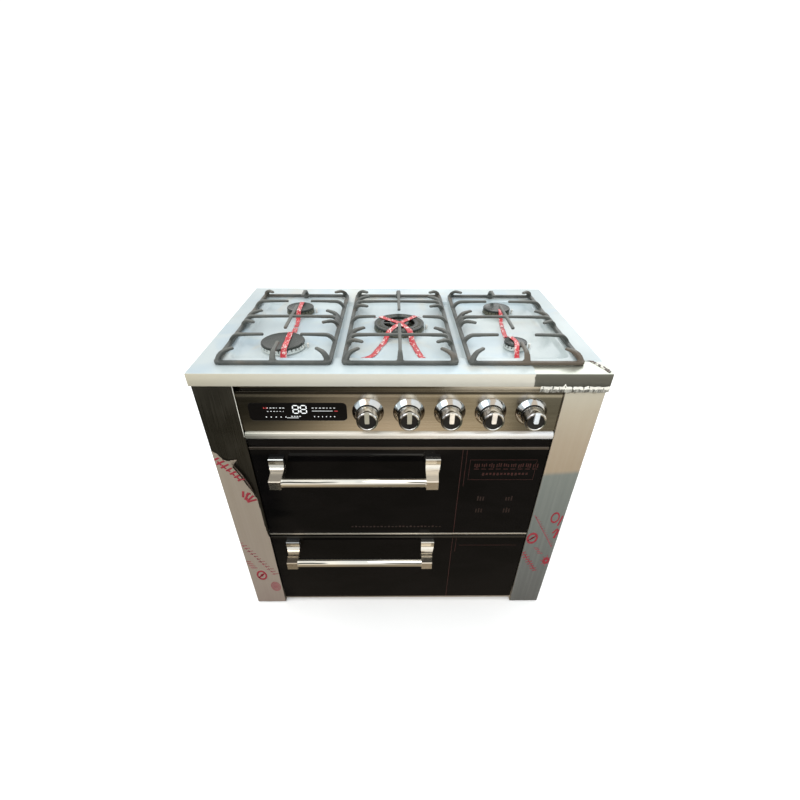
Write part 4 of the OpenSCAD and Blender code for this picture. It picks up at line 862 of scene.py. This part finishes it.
def knob(i):
    node, place = f"knob_{i}", front(knob_xs[i - 1], knob_z, panel_y)
    bm = bmesh.new()
    bands = lathe(bm, KNOB, place, 80)
    # the skirt at the knob's base is black, a painted shadow for the gap round the knob; the recess in the
    # face is black
    for index, part in ((1, bands[:5]), (2, bands[-3:])):
        for f in sum(part, []):
            f.material_index = index
    piece(node + "_body", bm, (KNOB_CHROME, PLASTIC, RECESS), node=node, angle=50)
    bm = bmesh.new()
    lathe(bm, WELL, place, 64)
    piece(node + "_well", bm, RECESS, node=node, extra=True, angle=50)
    bm = bmesh.new()
    a = degrees(asin(GRIP_HALF / GRIP_REACH))
    foot = [(-GRIP_HALF, GRIP_FOOT + 1.4), (1.4 - GRIP_HALF, GRIP_FOOT)]
    outline = arc(0, 0, GRIP_REACH, 90 - a, 90 + a, 6) + foot + [(-u, v) for u, v in foot[::-1]]
    prism(bm, outline, 38.6, 44.9, place)
    piece(node + "_grip", bm, GRIPS, node=node, extra=True, bevel=0.9, angle=40)


bm = bmesh.new()
for x in knob_xs:
    lathe(bm, BEZEL, front(x, knob_z, panel_y), 96, True)
piece("knob_bezels_skin", bm, BEZEL_CHROME, node="knob_bezels", angle=50)
for i in range(1, 6):
    knob(i)


# -------- display
DISPLAY_INK, GLASS_INK = (0.02, 0.12), (0.01, 0.1)
DIGIT_XS, DIGIT_ZS, DIGIT_HALF, STROKE_HALF = (-232, -214.5), (713, 723, 733), 6.2, 1.15


def display_marks():
    glass_y = box("display_window")[0].y
    place = front(0, 0, glass_y)
    bm = bmesh.new()

    def segment(a, b, c, upright=False):
        s = STROKE_HALF
        outline = [(a + 1, c), (a + 2.2, c + s), (b - 2.2, c + s), (b - 1, c), (b - 2.2, c - s),
                   (a + 2.2, c - s)]
        prism(bm, [(v, u) if upright else (u, v) for u, v in outline], *DISPLAY_INK, place)

    def dash(x, z, wide, high):
        block(bm, x, x + wide, z, z + high, *DISPLAY_INK, place)

    def dots(xs, z, r):
        for x in xs:
            lathe(bm, [(0, 0.12), (r, 0.12), (r, 0.02)], front(x, z, glass_y), 16)

    for cx in DIGIT_XS:
        for z in DIGIT_ZS:
            segment(cx - DIGIT_HALF, cx + DIGIT_HALF, z)
        for x in (cx - DIGIT_HALF, cx + DIGIT_HALF):
            for a, b in zip(DIGIT_ZS, DIGIT_ZS[1:]):
                segment(a, b, x, True)
    for z in (717.6, 726.6):
        dash(-224.1, z, 1.7, 1.8)
    dash(-254, 700.3, 26, 1)
    rng = random.Random(5)
    for x in range(-296, -254, 7):
        dash(x, 726, 2 + rng.random() * 2.5, 1.4)
        dash(x, 717.2, 1.5 + rng.random() * 2, 1.1)
    for x in (-244, -238, -232, -226):
        dash(x, 704, 3.4, 1.6)
    for x in range(-196, -140, 8):
        dash(x, 726, 3 + rng.random() * 3, 1.3)
    dash(-196, 718.4, 46, 0.9)
    dots(range(-192, -140, 9), 704, 1.2)
    dots(range(-300, -255, 11), 703, 1.3)
    piece("display_digits", bm, WHITE_PRINT)
    bm = bmesh.new()
    for x in (-303, -297.5):
        dash(x, 724.8, 2.2, 3.6)
    dash(-146, 717.6, 7, 2.2)
    piece("display_red_marks", bm, RED_DOT)


display_marks()


# -------- printed lines on the glasses
def glass_lines(node, long):
    """The printed lines at the right of both glasses, one of them so long, and the door's own marks."""
    lo, hi = box(node)
    place, top = front(0, 0, lo.y), hi.z - 3.2
    bm = bmesh.new()

    def line(x0, x1, z0, z1):
        block(bm, x0, x1, z0, z1, *GLASS_INK, place)

    line(151, 152.6, lo.z + 3.2, top)
    line(161.5, 162.8, top - long, top)
    line(172, 336, top - 32.6, top - 31.4)
    if node == "door_glass":
        rng = random.Random(11)
        line(172, 336, top - 96, top - 94.8)
        for x in (172, 335):
            line(x, x + 1, top - 94.8, top - 32.6)
        for x in range(184, 330, 18):
            for w in (0, 5, 10):
                line(x + w, x + w + 3, top - 52 - 5 * rng.random(), top - 42 - 4 * rng.random())
            line(x, x + 12, top - 62, top - 59.5)
        for x in range(206, 316, 9):
            line(x, x + 5.5, top - 79 - 3 * rng.random(), top - 73)
    piece(node + "_lines", bm, GLASS_PRINT, body_of[node])
    if node == "door_glass":
        bm = bmesh.new()
        for x in range(-130, 112, 10):
            line(x, x + 6, 344, 347 + 3 * rng.random())
        for x, z in ((212, 452), (286, 452), (212, 408), (286, 408)):
            for k in (-9, -2, 5):
                line(x + k, x + k + 4, z - 8, z + 4 + 6 * rng.random())
        piece("door_glass_marks", bm, DIM_PRINT, body_of[node])


glass_lines("door_glass", 118)
glass_lines("drawer_glass", 60)


# -------- protective film
FILM_THICK, MARK_THICK, MARK_LIFT, TAPE_THICK = 0.12, 0.05, 0.16, 0.15
STILE_IN, STILE_OUT, MARK_IN, MARK_OUT = 358.6, 445.6, 358.8, 445.4
film_y = box("front_stile_right")[0].y - 0.25

# the torn upper edge, and the notch under its tongue
TEAR = [(-450, 614), (-435, 602), (-426, 588), (-412, 583), (-400, 585), (-389.5, 586), (-389, 530),
        (-358, 530)]
NOTCH_TOP = [(-405, 564), (-399, 574), (-390, 584), (-358, 620)]
NOTCH_LOW = [(-405, 564), (-398, 549), (-391, 532), (-382.5, 507), (-371, 481), (-366, 458), (-364.9, 403),
             (-364, 348), (-361, 309), (-358, 309)]
# the middle of the flap that is rolled back along the tear
FLAP_XS = [(0, -404), (1, -399), (2, -392), (3, -383), (4, -374), (5, -367)]
FLAP_ZS = [(0, 574), (1, 560), (2, 542), (3, 518), (4, 494), (5, 468)]
FLAP_R = 3
# x, y, width and height of the crumpled edge, low at first and a ridge down the rim's end
CRUMPLE = (((0, 362), (0.35, 402), (0.5, 421), (0.65, 429.5), (0.82, 439), (1, 444)),
           ((0, -206.5), (0.35, -204), (0.5, -202), (0.65, -216), (0.82, -238), (1, -256)),
           ((0, 2.5), (0.45, 3.5), (0.6, 8), (1, 9)), ((0, 0.8), (0.45, 1.2), (0.6, 3.6), (1, 3.2)))


def on_stile(x, z, lift=0):
    """A point of the film, which is slack in places, or so much above it."""
    return at(x, film_y - 0.7 * max(wander(x * 0.05, z * 0.012, 3.1), 0) - lift, z)


def torn(x, z):
    """How far a point of the film is under the torn edge, less than zero where there is no film."""
    rag = 1.6 * wander(x * 0.22, z * 0.1, 0.7)
    notched = x > -405 and z < piecewise(NOTCH_TOP, x)
    return piecewise(NOTCH_LOW if notched else TEAR, x) - z + rag


def on_left(x, z, lift=0):
    """A point of the left film, which curls up along its torn edge."""
    gap = max(torn(x, z), 0) if x < -366 else 60
    return on_stile(x, z, lift + (5 if x > -425 else 1) * exp(-gap / 6))


def flap(u, v):
    k, a = u * 5, v * 3.6
    wide = 13 * sin(pi * min(max(u, 0.02), 0.98)) ** 0.6
    return at(piecewise(FLAP_XS, k) - 1 + wide * v * 0.55 + FLAP_R * sin(a) * 0.5,
              film_y - 3 - FLAP_R * (1 - cos(a)) * 0.8, piecewise(FLAP_ZS, k) + wide * v * 0.35)


def hanging(x, v):
    """The strip that hangs from the cooktop's front edge above the right stile."""
    peak = 7 * exp(-((x - 352) / 2.2) ** 2) + 3 * exp(-((x - 402) / 3) ** 2)
    n = wander(x * 0.16, v * 1.3, 5)
    high = 785.6 + peak + 1.6 * n
    low = 771.5 + 2 * wander(x * 0.09, 8, 1)
    return at(x, hob_y0 - 0.5 - 1.4 * sin(pi * v) - 0.8 * abs(n), low + (high - low) * v)


def crumple(u, v):
    x, y, wide, high = (piecewise(stops, u) for stops in CRUMPLE)
    n = wander(u * 22, v * 2, 2)
    side = (v - 0.5) * wide * (1 + 0.4 * n)
    return at(min(x + side * 0.8, 449.6), y + side * 0.6,
              hob_z + 0.3 + high * sin(pi * v) * (0.7 + 0.6 * n))


def film(name, bm, looks, angle=70, pale=None):
    """A piece of film. Pale says which of its faces have the second look."""
    for f in bm.faces if pale else ():
        f.material_index = int(pale(f.calc_center_median() / MM))
    piece(name, bm, looks, angle=angle, solid=FILM_THICK)


left_zs = steps_of(3.6, 440, 150) + steps_of(441, 614, 150)
film("film_left", sheet(steps_of(-STILE_OUT, -STILE_IN, 72), left_zs, on_left, lambda x, z: torn(x, z) > 0),
     FILM_LEFT, 60)
film("film_right", sheet(steps_of(STILE_IN, STILE_OUT, 44), steps_of(3.6, 776, 330), on_stile,
                         lambda x, z: z < 770 + 5 * wander(x * 0.09, 1.7, 0)), FILM_RIGHT, 60)
# the rolled-back flap, painted dark as the shade inside the roll
film("film_flap", sheet(steps_of(0, 1, 40), steps_of(0, 1, 10), flap), FILM_SHADE)
film("film_hanging", sheet(steps_of(300, 449, 110), steps_of(0, 1, 10), hanging), (FILM_SMOKE, FILM_EDGE),
     pale=lambda c: (c.z > 779.5 + 1.8 * wander(c.x * 0.13, 3, 2)
                     and wander(c.x * 0.21, c.z * 0.1, 6) < 0.38))
film("film_sliver", sheet(steps_of(-359.9, -358.7, 2), steps_of(650, 806, 60), on_stile), FILM_EDGE, 60)
# the crumpled edge: painted shade, with pale patches of the film's own colour
film("film_crumple", sheet(steps_of(0, 1, 120), steps_of(0, 1, 8), crumple), (FILM_SHADE, FILM_EDGE),
     pale=lambda c: wander(c.x * 0.16, c.y * 0.16, 9) > (0.08 if c.x < 424 else 0.3))


def ring(bm, surface, x, z, r_out, r_in, squash=1):
    n = 30
    for k in range(n):
        a0, a1 = 2 * pi * k / n, 2 * pi * (k + 1) / n
        quad = [(r_out, a0), (r_out, a1), (r_in, a1), (r_in, a0)]
        bm.faces.new([bm.verts.new(surface(x + r * cos(a), z + r * squash * sin(a)))
                      for r, a in quad])


def bar(bm, surface, x, z, length, width, angle):
    c, s = cos(radians(angle)), sin(radians(angle))
    ends = steps_of(-length / 2, length / 2, max(1, int(length / 4)))
    for a, b in zip(ends, ends[1:]):
        quad = [(a, -width / 2), (b, -width / 2), (b, width / 2), (a, width / 2)]
        bm.faces.new([bm.verts.new(surface(x + u * c - v * s, z + u * s + v * c)) for u, v in quad])


def row(bm, surface, p, q, n, length, width, turn, seed):
    """A row of plain bars from p to q."""
    rng = random.Random(seed)
    angle = degrees(atan2(q[1] - p[1], q[0] - p[0]))
    for k in range(n):
        t = (k + 0.5) / n
        x, z = p[0] + (q[0] - p[0]) * t, p[1] + (q[1] - p[1]) * t
        bar(bm, surface, x, z, length * (0.7 + 0.6 * rng.random()), width, angle + turn)


def left_mark(x, z):
    return on_left(min(max(x, -MARK_OUT), -MARK_IN), z, MARK_LIFT)


def right_mark(x, z):
    return on_stile(min(max(x, MARK_IN), MARK_OUT), z, MARK_LIFT)


for name, look, surface, marks in (
        ("film_left_marks", RED_PRINT, left_mark, (
            (row, (-444, 590), (-389, 515), 7, 21, 5, 82, 1),
            (row, (-440, 578), (-396, 518), 5, 11, 4.6, -6, 2),
            (bar, -399, 470, 22, 6, 78), (bar, -391, 463, 28, 6, 62), (bar, -383, 456, 26, 6, 44),
            (bar, -378, 448, 22, 6, 18), (bar, -392, 449, 18, 6, 100), (bar, -386, 470, 14, 6, 30),
            (ring, -410.9, 137.5, 15.5, 10.5, 1.45),
            *[(bar, -411 + 4 * k, 137 + 6 * k, 17, 4.2, 35) for k in (-1, 0, 1)])),
        ("film_left_marks_faint", PALE_PRINT, left_mark, (
            (row, (-447, 288), (-366, 138), 13, 17, 2.6, 72, 3),
            (row, (-443, 276), (-370, 138), 12, 9, 2.2, -16, 4),
            (row, (-441, 206), (-426, 168), 4, 15, 3.2, 64, 5),
            *[(ring, -377.7, 82, r, r - 2.4, 1.6) for r in (14.5, 10.5, 6.5, 2.8)])),
        ("film_right_marks", RED_PRINT, right_mark, (
            (ring, 375.3, 300, 15.5, 10, 1.5),
            *[(bar, 375 + 3.6 * k, 300 + 5 * k, 17, 3.8, 40) for k in (-1, 0, 1)],
            (ring, 422, 382, 12, 8.2, 1.75), (bar, 438.5, 370, 40, 4.6, 82), (bar, 433, 330, 22, 5, 60),
            (bar, 439, 318, 36, 7, 80), (ring, 434.5, 202, 10.5, 2.6, 1.5),
            (row, (357, 244), (412, 152), 9, 19, 3.2, 76, 7),
            (row, (360, 240), (410, 158), 8, 8, 2.6, -10, 8))),
        ("film_right_marks_faint", PALE_PRINT, right_mark, (
            (row, (366, 390), (438, 262), 15, 10, 2.2, 6, 6),
            (row, (370, 388), (440, 266), 14, 8, 1.6, 78, 10),
            (row, (392, 262), (412, 232), 4, 13, 3.4, 52, 9),
            *[(bar, 434.5 + 14 * cos(radians(a)), 202 + 21 * sin(radians(a)), 6, 3, a)
              for a in range(0, 360, 45)]))):
    bm = bmesh.new()
    for draw, *spec in marks:
        draw(bm, surface, *spec)
    piece(name, bm, look, angle=60, solid=-MARK_THICK, normals=False)


# -------- transport tape over the burners
def tape_z(x, y):
    """Height of a tape that hangs over the caps."""
    high = hob_z - TRAY_DROP + 1 + 0.8 * wander(x * 0.05, y * 0.05, 4)
    for bx, by, r in burners.values():
        d = max(hypot(x - bx, y - by) - r, 0)
        high = max(high, caps["cap_centre"][1].z + 0.5 - d * 0.42 - d ** 2 * 0.004)
    return high


def smooth_path(path, pitch=4):
    """Points along a Catmull-Rom curve through the path's points."""
    pts = [Vector(p) for p in (path[0], *path, path[-1])]
    samples = []
    for p0, p1, p2, p3 in zip(pts, pts[1:], pts[2:], pts[3:]):
        n = max(2, int((p2 - p1).length / pitch))
        samples += [0.5 * ((2 * p1) + (p2 - p0) * t + (2 * p0 - 5 * p1 + 4 * p2 - p3) * t * t
                           + (3 * p1 - p0 - 3 * p2 + p3) * t ** 3) for t in (k / n for k in range(n))]
    return samples + [pts[-1]]


def tape(name, body, wide, *path):
    bm = bmesh.new()
    samples = smooth_path(path)
    rows = []
    for k, s in enumerate(samples):
        d = (samples[min(k + 1, len(samples) - 1)] - samples[max(k - 1, 0)]).normalized()
        side = Vector((-d.y, d.x)) * wide * (1 + 0.14 * wander(k * 0.21, 1, 7))
        rows.append([])
        for v in (-0.5, -0.25, 0, 0.25, 0.5):
            p = s + side * v
            curl = 0.7 * (2 * v) ** 2 * (0.5 + 0.5 * wander(k * 0.3, v * 3, 1))
            rows[-1].append(bm.verts.new(at(p.x, p.y, tape_z(s.x, s.y) + curl)))
    for a, b in zip(rows, rows[1:]):
        for j in range(4):
            bm.faces.new((a[j], a[j + 1], b[j + 1], b[j]))
    piece("tape_" + name, bm, TAPE, "burner_cap_" + body, angle=60, solid=TAPE_THICK)


tape("left_rear", "left_rear", 11.5, (-275, 172), (-274, 120), (-271, 60), (-268, 12))
tape("left_front", "left_front", 13, (-268, 8), (-266, -50), (-264, -112), (-262, -165), (-258, -203))
tape("centre_a", "centre", 14, (-64, 62), (-36, 30), (0, -2), (22, -44), (34, -100), (44, -150), (56, -186))
tape("centre_b", "centre", 13, (58, 66), (34, 36), (2, -4), (-22, -50), (-44, -106), (-62, -160), (-86, -180))
tape("right_rear", "right_rear", 10, (280, 104), (276, 60), (270, 12))
tape("right_front", "right_front", 11, (270, 8), (266, -50), (268, -88), (274, -120), (268, -160),
     (264, -200))


# -------- back
def back_details():
    y = box("back_panel")[1].y
    bm = bmesh.new()
    for x in (-230, 0, 230):
        for z in range(342, 486, 18):
            hood = [(0, z + 6.2), (0, z + 8), *arc(0, z + 3, 5, 85, 5, 8), (4.98, z + 1.2), (3.9, z + 1.2),
                    *arc(0, z + 3, 3.9, 5, 80, 6)]
            prism(bm, hood, x - 61, x + 61, lambda u, v, w: at(w, y + u, v))
    piece("back_louvres", bm, GALV, node="back_panel", extra=True, angle=40)
    bm = bmesh.new()
    spots = [(x, z) for x in (-415, -210, 0, 210, 415) for z in (18, 330, 600, 796)]
    for x, z in spots + [(x, z) for x in (-415, 415) for z in (170, 460)]:
        place = behind(-x, z, y)
        lathe(bm, [(5.5, 0), (5.5, 0.5), (4.2, 0.7), (4, 2), (3.4, 2.7), (1.6, 3), (0, 3)], place, 20)
        for turn in (0, 90):
            block(bm, -2.2, 2.2, -0.4, 0.4, 2.9, 3.15, turned(place, turn))
    piece("back_screws", bm, CHROME, node="back_panel", extra=True, angle=40)


back_details()


# -------- stage, light and camera
def floor_mesh(name, material, half=40):
    mesh = bpy.data.meshes.new(name)
    corners = [(x * half, y * half, 0) for x, y in ((-1, -1), (1, -1), (1, 1), (-1, 1))]
    mesh.from_pydata(corners, [], [(0, 1, 2, 3)])
    mesh.materials.append(material)
    return mesh


def card_look():
    """What polished faces see of the ground in front."""
    look = Look("ground_card")
    glow = look.add("ShaderNodeEmission")
    rag = look.noise((1.1, 7, 1), 4, 0.5)
    x, y = look.waver(look.x, rag, 0.5), look.waver(look.y, rag, 0.45)
    left = look.times(look.fall(x, -0.5, -0.4), look.span(y, -1.05, -1))
    near = look.mix(left, (0.3, 0.255, 0.19), (0.04, 0.037, 0.031))
    low = look.ramp(x, (-0.86, 0.1, 0.095, 0.065), (-0.6, 0.26, 0.225, 0.16), (-0.3, 0.56, 0.47, 0.33),
                    (0, 0.72, 0.6, 0.45), (0.4, 0.52, 0.43, 0.29), (0.7, 0.3, 0.26, 0.19))
    high = look.ramp(x, (-0.75, 0.032, 0.03, 0.025), (-0.5, 0.08, 0.075, 0.06), (-0.1, 0.24, 0.215, 0.17),
                     (0.4, 0.36, 0.31, 0.2), (0.7, 0.3, 0.27, 0.19), (1, 0.42, 0.4, 0.32))
    far = look.ramp(x, (-0.9, 0.05, 0.046, 0.038), (0.2, 0.12, 0.1, 0.075), (0.45, 0.75, 0.68, 0.54),
                    (1, 0.95, 0.88, 0.72))
    base = look.mix(look.fall(y, -1.62, -1.18), low, high)
    look.feed(glow.inputs["Color"], look.over(
        base, (look.span(y, -1.14, -1.06), near), (look.fall(y, -1.74, -1.64), far),
        (look.fall(y, -3.2, -2.6), (0.5, 0.46, 0.38)),
        (look.span(look.y, 0.1, 0.8), (0.3, 0.29, 0.27))))
    look.feed(look.tree.nodes["Material Output"].inputs["Surface"], glow.outputs[0])
    look.mat.cycles.emission_sampling = "NONE"
    return look.mat


def stage():
    look = Look("pale_floor", Roughness=0.9, Emission_Strength=0.22, Emission_Color=(1, 1, 1, 1))
    look.set("Base Color", look.tones(look.noise(3, 3), (0.9, 0.9, 0.895), (0.93, 0.93, 0.925)))
    floor = put("floor", floor_mesh("floor", look.mat))
    floor.visible_glossy = False
    card = put("ground_card", floor_mesh("ground_card", card_look()))
    card.location.z = -0.002
    card.visible_camera = card.visible_diffuse = card.visible_shadow = card.visible_transmission = False


def world():
    sky = bpy.data.worlds.new("studio")
    bpy.context.scene.world = sky
    sky.use_nodes = True
    tree = sky.node_tree
    coords, split, ramp = (tree.nodes.new("ShaderNode" + k)
                           for k in ("TexCoord", "SeparateXYZ", "ValToRGB"))
    tree.links.new(coords.outputs["Generated"], split.inputs[0])
    tree.links.new(split.outputs["Z"], ramp.inputs[0])
    tree.links.new(ramp.outputs[0], tree.nodes["Background"].inputs["Color"])
    ramp.color_ramp.elements[0].color = (1, 0.985, 0.955, 1)
    ramp.color_ramp.elements[1].color = (0.93, 0.97, 1, 1)
    tree.nodes["Background"].inputs["Strength"].default_value = 1.12


def area(name, place, target, size, power, colour):
    light = bpy.data.lights.new(name, "AREA")
    light.shape, light.size, light.energy, light.color = "DISK", size, power, colour
    obj = put(name, light)
    obj.location = place
    obj.rotation_mode = "QUATERNION"
    obj.rotation_quaternion = (Vector(target) - Vector(place)).to_track_quat("-Z", "Y")


def camera():
    """The photograph's view: place, pitch, yaw and roll fitted to the cooker's corners."""
    place, pitch, yaw, roll = at(-14.3, -1072.61, 1232.23), 0.632, -0.0137, 0.0082
    level = Vector((cos(yaw), sin(yaw), 0))
    ahead = Vector((-sin(yaw), cos(yaw), 0))
    up = Vector((0, 0, 1))
    sight = cos(pitch) * ahead - sin(pitch) * up
    rise = sin(pitch) * ahead + cos(pitch) * up
    right = cos(roll) * level + sin(roll) * rise
    top = -sin(roll) * level + cos(roll) * rise
    lens = bpy.data.cameras.new("camera")
    lens.lens, lens.sensor_width, lens.shift_x, lens.shift_y = 19.364, 36, 0.00208, 0.0515
    lens.clip_start, lens.clip_end = 0.01, 200
    obj = put("camera", lens)
    obj.matrix_world = Matrix.Translation(place) @ Matrix((right, top, -sight)).transposed().to_4x4()
    bpy.context.scene.camera = obj


stage()
world()
area("key", (-1.6, -1.4, 2.9), (0, 0, 0.6), 2.2, 34, (1, 0.98, 0.95))
area("rear", (1.4, 1.9, 2.6), (0, 0, 0.7), 2.4, 22, (0.95, 0.98, 1))
camera()
bpy.context.scene.view_settings.view_transform = "Standard"
